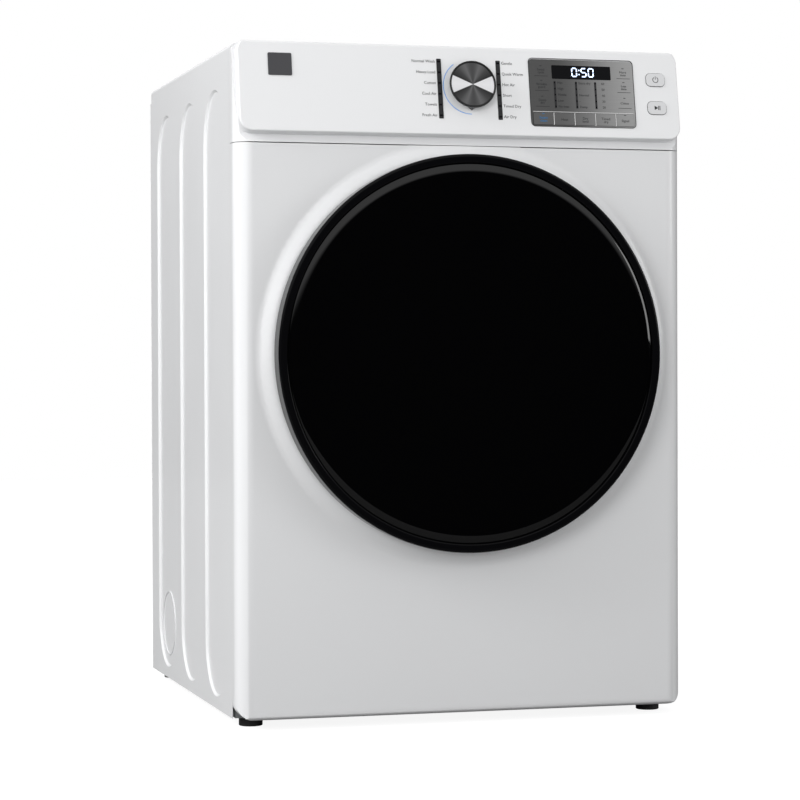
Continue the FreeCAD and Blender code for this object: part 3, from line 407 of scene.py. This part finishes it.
def makeMaterials():
    coat = {"Coat_Weight": 0.35, "Coat_Roughness": 0.12}
    dimShine = {"IOR": 1.25, "Specular_IOR_Level": 0.35}
    acrossLines = (5.0, 1400.0, 1400.0)
    midGrey = (0.3, 0.3, 0.3)
    return {
        "white_enamel": moulded("whiteEnamel", (0.76, 0.765, 0.775), 0.34, 500.0, 0.06, 0.02, **coat),
        "white_plastic": moulded("whitePlastic", (0.79, 0.795, 0.805), 0.30, 1100.0, 0.03, 0.02, **coat),
        "button_grey": moulded("buttonGrey", (0.66, 0.665, 0.675), 0.38, 1800.0, 0.05),
        "galvanised_steel": galvanised("galvanisedSteel", (0.52, 0.54, 0.55)),
        "stainless_drum": brushed("stainlessDrum", (0.60, 0.60, 0.60), 0.28, (500.0, 5.0, 500.0)),
        # overlay and key steel carry a painted reflection, dark at the left end and bright at the right
        "overlay_steel": paintReflectionFade(brushed("overlaySteel", midGrey, 0.36, acrossLines, 0.3), 0.115, 0.42),
        "key_steel": paintReflectionFade(brushed("keySteel", midGrey, 0.34, acrossLines, 0.25), 0.15, 0.40),
        # near-white separator ridges: a painted highlight of light along each ridge
        "key_bright": brushed("keyBright", (0.92, 0.92, 0.92), 0.25, (5.0, 900.0, 900.0), 0.05),
        "spun_metal": brushed("spunMetal", (0.30, 0.31, 0.33), 0.3, (5.0, 900.0, 900.0)),
        "knob_black": moulded("knobBlack", (0.012, 0.012, 0.013), 0.18, 1500.0, 0.02),
        "door_black": moulded("doorBlack", (0.003, 0.003, 0.0035), 0.08, 300.0, 0.004, **dimShine),
        "smoked_glass": moulded("smokedGlass", (0.0012, 0.0012, 0.0014), 0.05, 60.0, 0.001),
        "clear_glass": glassLike("clearGlass", (0.86, 0.90, 0.90), 0.02, 1.0),
        "grey_plastic": moulded("greyPlastic", (0.42, 0.43, 0.45), 0.5, 900.0, 0.2),
        "dark_plastic": moulded("darkPlastic", (0.035, 0.035, 0.038), 0.48, 900.0, 0.2),
        "light_grey_plastic": moulded("lightGreyPlastic", (0.60, 0.61, 0.62), 0.46, 900.0, 0.15),
        "display_black": moulded("displayBlack", (0.001, 0.001, 0.002), 0.10, 80.0, 0.002, 0.0, **dimShine),
        "badge_grey": moulded("badgeGrey", (0.045, 0.045, 0.05), 0.3, 900.0, 0.04),
        "board_green": moulded("boardGreen", (0.02, 0.14, 0.06), 0.42, 300.0, 0.2),
        "rubber_black": moulded("rubberBlack", (0.015, 0.015, 0.015), 0.62, 700.0, 0.35),
        "rubber_grey": moulded("rubberGrey", (0.22, 0.23, 0.24), 0.6, 700.0, 0.3),
        "felt_grey": moulded("feltGrey", (0.48, 0.46, 0.42), 0.95, 450.0, 0.9, 0.25),
        "motor_paint": moulded("motorPaint", (0.06, 0.06, 0.065), 0.4, 500.0, 0.15),
        "spring_steel": brushed("springSteel", (0.66, 0.66, 0.66), 0.2, (300.0, 300.0, 40.0)),
        "zinc_steel": brushed("zincSteel", (0.62, 0.62, 0.60), 0.34, (90.0, 90.0, 300.0), 0.15),
        "brass_fitting": brushed("brassFitting", (0.70, 0.50, 0.20), 0.3, (90.0, 300.0, 90.0), 0.12),
        "lamp_lens": glassLike("lampLens", (0.95, 0.95, 0.90), 0.25, 0.7),
        "ink_grey": moulded("inkGrey", (0.006, 0.006, 0.008), 0.4, 900.0, 0.03),
        # ink for print, also used for the painted shade outlines round the buttons
        "ink_print": moulded("inkPrint", (0.012, 0.013, 0.015), 0.5, 900.0, 0.02),
        "ink_blue": moulded("inkBlue", (0.01, 0.17, 0.42), 0.4, 900.0, 0.02),
        "digit_glow": glowing("digitGlow", (0.62, 0.76, 1.0), 2.2),
        "arc_glow": glowing("arcGlow", (0.02, 0.20, 0.55), 0.4),
    }


materials = makeMaterials()
slotOf = {part["node"]: part["material_slot"] for part in frame["record"]["subparts"]}
bodyOf = {}
for bodyName, members in frame["record"]["behaviour"]["bodies"].items():
    for member in members:
        bodyOf[member] = bodyName
note("materials")


def select(piece):
    cleanSelection()
    piece.select_set(True)
    bpy.context.view_layer.objects.active = piece


def bake(piece):
    select(piece)
    bpy.ops.object.transform_apply(location=True, rotation=True, scale=True)


def applyModifier(piece, kind, **values):
    select(piece)
    modifier = piece.modifiers.new(kind.lower(), kind)
    for label, value in values.items():
        setattr(modifier, label, value)
    bpy.ops.object.modifier_apply(modifier=modifier.name)


def smooth(piece, angle=35):
    select(piece)
    bpy.ops.object.shade_smooth_by_angle(angle=math.radians(angle))
    applyModifier(piece, "WEIGHTED_NORMAL", keep_sharp=True, weight=80)


# Names a piece, gives it its material and puts it on its body.
def finish(piece, name, slotName, body, replaced=(), materialName=None):
    piece.name = name
    piece.data.name = name
    piece.data.materials.clear()
    piece.data.materials.append(materials[materialName or slotName])
    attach(piece, body)
    if replaced:
        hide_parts(*replaced)
    return piece


def joinAll(pieces):
    cleanSelection()
    for piece in pieces:
        piece.select_set(True)
    bpy.context.view_layer.objects.active = pieces[0]
    bpy.ops.object.join()
    return bpy.context.object


# A welded copy of a CAD node, smoothly shaded, that stands for it.
def smoothCopy(node, name=None, angle=35, materialName=None):
    source = nodes[node]
    piece = bpy.data.objects.new("copy", source.data.copy())
    bpy.context.scene.collection.objects.link(piece)
    select(piece)
    bpy.ops.object.mode_set(mode="EDIT")
    bpy.ops.mesh.select_all(action="SELECT")
    bpy.ops.mesh.remove_doubles(threshold=0.00001)
    bpy.ops.mesh.customdata_custom_splitnormals_clear()
    bpy.ops.object.mode_set(mode="OBJECT")
    smooth(piece, angle)
    words = node.split("_")
    made = name or words[0] + "".join(word.capitalize() for word in words[1:]) + "Shell"
    return finish(piece, made, slotOf[node], bodyOf[node], (node,), materialName)


# Spins up a round piece about Z: circle first, then its edge is extruded and resized ring by ring.
def lathe(profile, steps, closed=True):
    radius, height = profile[0]
    bpy.ops.mesh.primitive_circle_add(vertices=steps, radius=radius, location=(0, 0, height))
    piece = bpy.context.object
    bpy.ops.object.transform_apply(location=True)
    bpy.ops.object.mode_set(mode="EDIT")
    bpy.ops.mesh.select_all(action="SELECT")
    previous = (radius, height)
    rings = list(profile[1:]) + ([profile[0]] if closed else [])
    for radius, height in rings:
        bpy.ops.mesh.extrude_region_move(TRANSFORM_OT_translate={"value": (0, 0, height - previous[1])})
        ratio = radius / previous[0]
        bpy.ops.transform.resize(value=(ratio, ratio, 1), center_override=(0, 0, height))
        previous = (radius, height)
    bpy.ops.mesh.select_all(action="SELECT")
    bpy.ops.mesh.remove_doubles(threshold=0.000002)
    bpy.ops.mesh.normals_make_consistent(inside=False)
    bpy.ops.object.mode_set(mode="OBJECT")
    return piece


# Points on an arc in (radius, height) terms, angles in degrees.
def arcPoints(centre, radius, start, stop, count):
    points = []
    for index in range(count + 1):
        angle = math.radians(start + (stop - start) * index / count)
        points.append((centre[0] + radius * math.cos(angle), centre[1] + radius * math.sin(angle)))
    return points


# The leaning fascia has its own coordinates: x across, rise up the slope from its lower edge.
dialJoint = joints["dial_turn"]
fasciaOut = Vector(dialJoint["axis"]).normalized()
fasciaUp = fasciaOut.cross(Vector((1, 0, 0)))
fasciaSpot = Vector((0, dialJoint["pos_m"][1], dialJoint["pos_m"][2]))
dialX = dialJoint["pos_m"][0]
dialRise = 0.0740  # dial centre above the fascia's lower edge


# Local X across, Y up the slope, Z outwards.
def fasciaMatrix(x=0.0, rise=0.0, lift=0.0):
    turn = Matrix((Vector((1, 0, 0)), fasciaUp, fasciaOut)).transposed().to_4x4()
    place = fasciaSpot + Vector((x, 0, 0)) + fasciaUp * (rise - dialRise) + fasciaOut * lift
    return Matrix.Translation(place) @ turn


def setOnFascia(piece, x=0.0, rise=0.0, lift=0.0):
    piece.matrix_world = fasciaMatrix(x, rise, lift) @ piece.matrix_world
    bake(piece)
    return piece


note("helpers")


drumZ = joints["drum_spin"]["pos_m"][2]
doorSet = {"proud": 0.045, "radius": 0.2905, "back": 0.014, "rimFace": 0.0445, "rimRound": 0.0042,
           "rimInner": 0.2776, "seatInner": 0.2620, "seatBack": 0.0340, "glassRadius": 0.2771,
           "glassSeat": 0.0382, "glassEdge": 0.0420, "glassRoll": 0.0130, "poleHole": 0.006,
           "hingeHalf": 0.032, "hingeFront": 0.010, "steps": 192}
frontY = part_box("door_glass")[0][1] + doorSet["proud"]


# Turns a piece lathed about Z so that its height points out of the front plane, on the door's axis.
def setOnDoor(piece):
    piece.matrix_world = Matrix.Translation((0, frontY, drumZ)) @ Matrix.Rotation(math.radians(90), 4, "X")
    bake(piece)
    return piece


def addBox(low, high):
    middle = [(a + b) / 2 for a, b in zip(low, high)]
    bpy.ops.mesh.primitive_cube_add(size=1, location=middle)
    piece = bpy.context.object
    piece.scale = [b - a for a, b in zip(low, high)]
    bpy.ops.object.transform_apply(location=True, rotation=True, scale=True)
    return piece


def cutBy(piece, cutter):
    applyModifier(piece, "BOOLEAN", operation="DIFFERENCE", solver="EXACT", object=cutter)
    bpy.data.objects.remove(cutter)


def makeDoorRim():
    radius, back, face = doorSet["radius"], doorSet["back"], doorSet["rimFace"]
    bend, inner, seat = doorSet["rimRound"], doorSet["rimInner"], doorSet["glassSeat"] - 0.0002
    profile = [(radius - 0.0005, back), (radius, back + 0.0006)]
    profile += arcPoints((radius - bend, face - bend), bend, 0, 90, 9)
    ledge, floor, wall = doorSet["seatInner"], doorSet["seatBack"], radius - 0.0040
    profile += [(inner + 0.0018, face), (inner + 0.0007, face - 0.0004), (inner + 0.0001, face - 0.0012),
                (inner, seat), (ledge, seat), (ledge, floor), (wall, floor), (wall, back)]
    rim = setOnDoor(lathe(profile, doorSet["steps"]))
    hingeX = joints["door_hinge_joint"]["pos_m"][0]
    # Room for the hinge's leaf, stepped as the leaf is.
    for x0, x1, depth in ((-0.020, 0.0305, 0.0339), (-0.008, 0.007, 0.0366), (0.0035, 0.030, 0.0392)):
        low = (hingeX + x0, frontY - depth, drumZ - doorSet["hingeHalf"])
        high = (hingeX + x1, frontY - doorSet["hingeFront"], drumZ + doorSet["hingeHalf"])
        cutBy(rim, addBox(low, high))
    smooth(rim, 40)
    finish(rim, "doorRim", "door_black", "door", ("door_frame",))


def makeDoorGlass():
    edge = doorSet["glassRadius"]
    seat, low = doorSet["glassSeat"], doorSet["glassEdge"]
    crown = doorSet["proud"] - low
    hole = doorSet["poleHole"]
    profile = [(hole, seat + crown), (0.140, seat + crown * 0.75), (edge - 0.0006, seat),
               (edge, seat + 0.0006)]
    profile += arcPoints((edge - 0.0014, low - 0.0014), 0.0014, 0, 80, 4)
    roll = doorSet["glassRoll"]
    for index in range(1, 11):
        turn = index / 10
        profile.append((edge - 0.0004 - roll * turn, low + crown * 0.85 * (1 - (1 - turn) ** 2)))
    for index in range(1, 12):
        radius = (edge - 0.0004 - roll) * (1 - index / 12)
        profile.append((radius, low + crown * (1 - 0.15 * (radius / edge) ** 2)))
    profile.append((hole, low + crown))
    glass = lathe(profile, doorSet["steps"], closed=False)
    select(glass)
    bpy.ops.object.mode_set(mode="EDIT")
    bpy.ops.mesh.select_all(action="DESELECT")
    bpy.ops.mesh.select_non_manifold()
    bpy.ops.mesh.fill_holes(sides=0)
    bpy.ops.mesh.normals_make_consistent(inside=False)
    bpy.ops.object.mode_set(mode="OBJECT")
    setOnDoor(glass)
    smooth(glass, 40)
    finish(glass, "doorGlassDome", "smoked_glass", "door", ("door_glass",))


makeDoorRim()
makeDoorGlass()
note("door")


dialSet = {"neck": 0.0290, "rim": 0.0355, "height": 0.0155, "rimDeep": 0.0040, "capRadius": 0.0330,
           "seatDeep": 0.0024, "capDeep": 0.0012, "bore": 0.004, "grooves": 30,
           "pointerTip": 0.0366, "steps": 128}


# Narrow neck under a wide rim, with a pointer wedge at its foot.
def makeDial():
    body = dialSet
    rim, top = body["rim"], body["height"]
    neck, bore, under = body["neck"], body["bore"], top - body["rimDeep"]
    profile = [(bore, 0.0010), (neck + 0.0010, 0.0010), (neck + 0.0003, 0.0025), (neck, 0.0040)]
    profile += [(rim - 0.0030, top - 0.0068), (rim - 0.0008, under), (rim, under + 0.0010)]
    profile += arcPoints((rim - 0.0010, top - 0.0010), 0.0010, 0, 90, 5)
    lip, seat = body["capRadius"] + 0.0002, top - body["seatDeep"]
    profile += [(body["capRadius"] + 0.0006, top), (lip, top - 0.0004), (lip, seat), (bore, seat)]
    knob = lathe(profile, body["steps"])
    bpy.ops.mesh.primitive_cone_add(vertices=3, radius1=0.0100, radius2=0.0074, depth=0.0094,
                                    location=(0, -body["pointerTip"] + 0.0100, 0.0057),
                                    rotation=(0, 0, math.radians(180)))
    pointer = bpy.context.object
    pointer.scale = (2.0, 1, 1)
    bake(pointer)
    applyModifier(pointer, "BEVEL", width=0.0008, segments=3)
    knob = joinAll([knob, pointer])
    setOnFascia(knob, dialX, dialRise)
    smooth(knob, 40)
    finish(knob, "dialBody", "knob_black", "dial", ("dial_knob",))

    face = top - body["seatDeep"]
    wide, high = body["capRadius"], top - body["capDeep"]
    profile = [(0.0005, face), (wide - 0.0003, face), (wide, face + 0.0003), (wide, high - 0.0004),
               (wide - 0.0004, high)]
    for index in range(body["grooves"]):
        radius = wide - 0.0015 - 0.001 * index
        profile += [(radius + 0.0004, high), (radius, high - 0.00006)]
    profile += [(0.0005, high - 0.00002)]
    cap = lathe(profile, body["steps"])
    setOnFascia(cap, dialX, dialRise)
    smooth(cap, 50)
    # The cap takes the material with the painted highlight.
    finish(cap, "dialCapSpun", "spun_metal", "dial", ("dial_cap",), "spunCap")


# Painted highlight: the fan of light and dark that a spun metal disc shows under lamps, painted into the cap's
# colour by angle about the dial's own axis, bright at left and right and dark at top and bottom.
def makeCapPaintedHighlight():
    made = bpy.data.materials.new("spunCap")
    made.use_nodes = True
    tree = made.node_tree
    shader = tree.nodes["Principled BSDF"]
    coords = tree.nodes.new("ShaderNodeTexCoord")
    place = tree.nodes.new("ShaderNodeMapping")
    place.vector_type = "TEXTURE"
    spot = fasciaMatrix(dialX, dialRise)
    place.inputs["Location"].default_value = spot.to_translation()
    place.inputs["Rotation"].default_value = spot.to_euler()
    split = tree.nodes.new("ShaderNodeSeparateXYZ")
    angle = tree.nodes.new("ShaderNodeMath")
    angle.operation = "ARCTAN2"
    swing = tree.nodes.new("ShaderNodeMath")
    swing.operation = "SINE"
    size = tree.nodes.new("ShaderNodeMath")
    size.operation = "ABSOLUTE"
    ramp = tree.nodes.new("ShaderNodeValToRGB")
    highlightStops = ((0.0, 0.98), (0.33, 0.93), (0.39, 0.84), (0.41, 0.03), (0.46, 0.045), (0.72, 0.08),
             (0.93, 0.17), (1.0, 0.09))
    ramp.color_ramp.elements[0].position, ramp.color_ramp.elements[1].position = 0.0, 1.0
    while len(ramp.color_ramp.elements) < len(highlightStops):
        ramp.color_ramp.elements.new(0.5)
    for element, (position, grey) in zip(ramp.color_ramp.elements, highlightStops):
        element.position = position
        element.color = (grey, grey, grey * 1.02, 1)
    link = tree.links.new
    link(coords.outputs["Object"], place.inputs["Vector"])
    link(place.outputs[0], split.inputs[0])
    link(split.outputs["Y"], angle.inputs[0])
    link(split.outputs["X"], angle.inputs[1])
    link(angle.outputs[0], swing.inputs[0])
    link(swing.outputs[0], size.inputs[0])
    link(size.outputs[0], ramp.inputs["Fac"])
    link(ramp.outputs["Color"], shader.inputs["Base Color"])
    shader.inputs["Metallic"].default_value = 1.0
    shader.inputs["Roughness"].default_value = 0.32
    return made


materials["spunCap"] = makeCapPaintedHighlight()
makeDial()
note("dial")


# Printed marks stand this far above what they are printed on, in metres.
markSet = {"thick": 0.00008, "font": 0.0062, "smallFont": 0.0050, "keyFont": 0.0054, "overlayLift": 0.0009,
           "keyLift": 0.0016, "buttonLift": 0.00145, "displayLift": 0.0011, "dash": (0.0034, 0.0009)}


def printedText(words, x, rise, size, lift, align="CENTER"):
    bpy.ops.object.text_add(location=(0, 0, 0))
    piece = bpy.context.object
    piece.data.body = words
    piece.data.size = size
    piece.data.align_x = align
    piece.data.align_y = "CENTER"
    piece.data.space_line = 0.85
    piece.data.resolution_u = 2
    piece.data.extrude = markSet["thick"]
    bpy.ops.object.convert(target="MESH")
    return setOnFascia(bpy.context.object, x, rise, lift)


# A low rounded bar on the fascia, wide and tall in metres.
def printedBar(x, rise, wide, tall, lift, thick=None, corner=0.0):
    bpy.ops.mesh.primitive_cube_add(size=1)
    piece = bpy.context.object
    piece.scale = (wide, tall, thick or markSet["thick"])
    bake(piece)
    if corner:
        bpy.ops.object.mode_set(mode="EDIT")
        bpy.ops.mesh.select_all(action="DESELECT")
        bpy.ops.object.mode_set(mode="OBJECT")
        for edge in piece.data.edges:
            a, b = (piece.data.vertices[index].co for index in edge.vertices)
            edge.select = abs(a.z - b.z) > 1e-7
        bpy.ops.object.mode_set(mode="EDIT")
        bpy.ops.mesh.select_mode(type="EDGE")
        bpy.ops.mesh.bevel(offset=corner, segments=4)
        bpy.ops.object.mode_set(mode="OBJECT")
    return setOnFascia(piece, x, rise, lift)


# The outline of such a bar.
def printedFrame(x, rise, wide, tall, line, lift, thick, corner):
    piece = printedBar(x, rise, wide, tall, lift, thick, corner)
    cutBy(piece, printedBar(x, rise, wide - 2 * line, tall - 2 * line, lift, 4 * thick, corner - line))
    return piece


dialWords = {
    "left": ("Normal Wash", "Heavy Load", "Cotton", "Cool Air", "Towels", "Fresh Air"),
    "right": ("Gentle", "Quick Warm", "Hot Air", "Short", "Timed Dry", "Air Dry"),
    "topRise": 0.1112, "step": 0.0163, "leftEdge": -0.0420, "rightEdge": 0.0600,
}
columnWords = {
    "rises": (0.0839, 0.0748, 0.0655, 0.0564, 0.0474),
    0.1458: ("Max", "High", "Middle", "Low", "No heat"),
    0.1793: ("Extra dry", "-", "Normal", "-", "Damp"),
    0.2177: ("60", "50", "40", "30", "20"),
}
sideKeys = {
    "left": {"x": 0.1212, "lines": (0.0938, 0.0714, 0.0471),
             "words": ("Saved\ncycle", "Wrinkle\nguard", "Damp\ndry")},
    "right": {"x": 0.2507, "lines": (0.0928, 0.0714, 0.0471),
              "words": ("More\ntime", "Less\ntime", "Chime")},
    "lineWide": 0.021, "lineTall": 0.0006,
}
keyEdges = (0.1045, 0.1376, 0.1703, 0.2029, 0.2351, 0.2645)
keyRise = 0.0283
ladderPlaces = (-0.0364, 0.0547)
ladderRises = (0.0250, 0.1152)
stripPlaces = (0.1418, 0.1753, 0.2056)
stripMiddle, stripTall = 0.0656, 0.0412
separatorRises = (0.0190, 0.0376)
figurePlaces = (("abcdef", 0.1735), ("acdfg", 0.1883), ("abcdef", 0.1996))
figureSet = {"middle": 0.1005, "wide": 0.0074, "tall": 0.0125, "colon": 0.1811}
buttonSet = {"x": 0.3020, "powerRise": 0.0924, "startRise": 0.0489}
keyWords = ("Steam\nclean", "Heat", "Dry\nlevel", "Timed\ndry", "Signal")


def makeDialPrint():
    pieces = []
    for side, align, edge in (("left", "RIGHT", "leftEdge"), ("right", "LEFT", "rightEdge")):
        for index, words in enumerate(dialWords[side]):
            rise = dialWords["topRise"] - dialWords["step"] * index
            place = dialWords[edge]
            pieces.append(printedText(words, place, rise, markSet["font"], markSet["thick"], align))
    finish(joinAll(pieces), "dialPrint", "ink_grey", "cabinet", (), "ink_print")


def makeLadders():
    low, high = ladderRises
    middle = (low + high) / 2
    pieces = [printedBar(x, middle, 0.0068, high - low, 0.0002, 0.0004, 0.0010) for x in ladderPlaces]
    pieces += [printedBar(x, stripMiddle, 0.0030, stripTall, 0.0010, 0.0003, 0.0006) for x in stripPlaces]
    ladders = finish(joinAll(pieces), "ladderWindows", "ink_grey", "cabinet", ("indicator_lights",))
    smooth(ladders, 30)
    ticks = []
    for x in ladderPlaces:
        for index in range(len(dialWords["left"])):
            rise = dialWords["topRise"] - dialWords["step"] * index
            ticks.append(printedBar(x, rise, 0.0048, 0.0024, 0.0004, 0.0002))
    for x in stripPlaces:
        for rise in columnWords["rises"]:
            ticks.append(printedBar(x, rise, 0.0022, 0.0022, 0.0012, 0.0002))
    finish(joinAll(ticks), "ladderLamps", "display_black", "cabinet")


# What is left of a turned ring between two angles, with its two ends closed.
def keepSector(ring, start, stop):
    select(ring)
    bpy.ops.object.mode_set(mode="EDIT")
    bpy.ops.mesh.select_mode(type="FACE")
    bpy.ops.mesh.select_all(action="DESELECT")
    bpy.ops.object.mode_set(mode="OBJECT")
    for polygon in ring.data.polygons:
        angle = math.degrees(math.atan2(polygon.center.y, polygon.center.x)) % 360
        polygon.select = not (start < angle < stop or start < angle + 360 < stop)
    bpy.ops.object.mode_set(mode="EDIT")
    bpy.ops.mesh.delete(type="FACE")
    bpy.ops.mesh.select_mode(type="EDGE")
    bpy.ops.mesh.select_all(action="DESELECT")
    bpy.ops.mesh.select_non_manifold()
    bpy.ops.mesh.fill_holes(sides=0)
    bpy.ops.object.mode_set(mode="OBJECT")


# Thin light ring round the dial's left side, from the upper left to the foot of the dial.
def makeDialArc():
    profile = [(0.0409, 0.0001), (0.0417, 0.0001), (0.0417, 0.0004), (0.0409, 0.0004)]
    arc = lathe(profile, 180)
    keepSector(arc, 126, 271)
    setOnFascia(arc, dialX, dialRise)
    finish(arc, "dialArc", "digit_glow", "cabinet", (), "arc_glow")


def makeOverlayPrint():
    lift = markSet["overlayLift"]
    edge = printedFrame(0.1845, 0.06885, 0.1652, 0.1046, 0.0009, 0.0004, 0.0010, 0.0064)
    finish(edge, "overlayEdge", "ink_grey", "cabinet", (), "ink_print")
    pieces = []
    for x, words in columnWords.items():
        if x == "rises":
            continue
        align = "LEFT" if x < 0.2 else "CENTER"
        for rise, word in zip(columnWords["rises"], words):
            pieces.append(printedText(word, x, rise, markSet["smallFont"], lift, align))
    wide, tall = markSet["dash"]
    for side in ("left", "right"):
        keys = sideKeys[side]
        for line, words in zip(keys["lines"], keys["words"]):
            pieces.append(printedBar(keys["x"], line, sideKeys["lineWide"], sideKeys["lineTall"], lift))
            pieces.append(printedText(words, keys["x"], line + 0.0075, markSet["smallFont"], lift))
            pieces.append(printedBar(keys["x"], line + 0.0155, wide, tall, lift))
    finish(joinAll(pieces), "overlayPrint", "ink_grey", "cabinet", (), "ink_print")


# One seven-part figure; parts are lit in the usual order a to g.
def litFigure(parts, x, rise, wide, tall, lift):
    bar = 0.0016
    half = tall / 2
    places = {
        "a": (0, half, wide - bar, bar), "d": (0, -half, wide - bar, bar), "g": (0, 0, wide - bar, bar),
        "b": (wide / 2, half / 2, bar, half - bar), "c": (wide / 2, -half / 2, bar, half - bar),
        "e": (-wide / 2, -half / 2, bar, half - bar), "f": (-wide / 2, half / 2, bar, half - bar),
    }
    pieces = []
    for part in parts:
        dx, dy, across, up = places[part]
        pieces.append(printedBar(x + dx, rise + dy, across, up, lift, 0.0002, 0.0005))
    return pieces


def makeDisplay():
    smoothCopy("display_lens", "displayLens")
    lift, middle = markSet["displayLift"], figureSet["middle"]
    pieces = []
    for parts, x in figurePlaces:
        pieces += litFigure(parts, x, middle, figureSet["wide"], figureSet["tall"], lift)
    for dy in (-0.0032, 0.0032):
        pieces.append(printedBar(figureSet["colon"], middle + dy, 0.0016, 0.0016, lift, 0.0002))
    finish(joinAll(pieces), "displayFigures", "digit_glow", "cabinet")


def makeKeys():
    low, high = separatorRises
    left, right = keyEdges[0], keyEdges[5]
    # The separators are raised ridges; their near-white colour is a painted highlight along them.
    bars = [printedBar(x, (low + high) / 2, 0.0009, high - low, 0.0009, 0.0010) for x in keyEdges[1:5]]
    bars.append(printedBar((left + right) / 2, 0.0391, right - left - 0.002, 0.0006, 0.0009))
    finish(joinAll(bars), "keySeparators", "key_steel", "cabinet", (), "key_bright")
    for index in range(5):
        node = "option_key_" + str(index + 1)
        smoothCopy(node, "optionKey" + str(index + 1))
        x = (keyEdges[index] + keyEdges[index + 1]) / 2
        ink = "ink_blue" if index == 0 else "ink_print"
        lift = markSet["keyLift"]
        pieces = [printedText(keyWords[index], x, keyRise - 0.0010, markSet["keyFont"], lift)]
        if index in (0, 4):
            pieces.append(printedBar(x, keyRise + 0.0076, *markSet["dash"], lift))
        finish(joinAll(pieces), "keyPrint" + str(index + 1), "ink_grey", bodyOf[node], (), ink)


# A flat ring with a gap at its top, given as the half angle in degrees.
def ringMark(radius, wide, x, rise, lift, gap):
    inner, outer, thick = radius - wide / 2, radius + wide / 2, 0.0001
    ring = lathe([(inner, 0), (outer, 0), (outer, thick), (inner, thick)], 48)
    keepSector(ring, 90 + gap, 450 - gap)
    return setOnFascia(ring, x, rise, lift)


def makeButtons():
    x, powerRise, startRise = buttonSet["x"], buttonSet["powerRise"], buttonSet["startRise"]
    lift = markSet["buttonLift"]
    smoothCopy("power_button", "powerButton")
    smoothCopy("start_button", "startButton")
    # A dark outline round each button, a painted shade for the gap round it.
    shadeOutlines = []
    for rise in (powerRise, startRise):
        shadeOutlines.append(printedFrame(x, rise, 0.0306, 0.0210, 0.0006, 0.0001, 0.0002, 0.0073))
    finish(joinAll(shadeOutlines), "buttonFrames", "ink_grey", "cabinet", (), "ink_print")
    power = [ringMark(0.0042, 0.0009, x, powerRise, lift, 32)]
    power.append(printedBar(x, powerRise + 0.0030, 0.0009, 0.0050, lift))
    finish(joinAll(power), "powerIcon", "ink_grey", bodyOf["power_button"], (), "ink_print")
    start = [printedBar(x + dx, startRise, 0.0011, 0.0066, lift) for dx in (0.0022, 0.0044)]
    bpy.ops.mesh.primitive_cylinder_add(vertices=3, radius=0.0038, depth=markSet["thick"],
                                        rotation=(0, 0, math.radians(-90)))
    start.append(setOnFascia(bpy.context.object, x - 0.0022, startRise, lift))
    finish(joinAll(start), "startIcon", "ink_grey", bodyOf["start_button"], (), "ink_print")


makeDialPrint()
makeLadders()
makeDialArc()
makeOverlayPrint()
makeDisplay()
makeKeys()
makeButtons()
note("fascia")


# The rest of the frame is welded and smoothly shaded.
done = {"door_frame", "door_glass", "dial_knob", "dial_cap", "indicator_lights", "display_lens",
        "power_button", "start_button"} | {"option_key_" + str(index) for index in range(1, 6)}
for node in sorted(nodes):
    if node not in done:
        smoothCopy(node, angle=20 if node.endswith("side_panel") else 35)
note("cabinet")
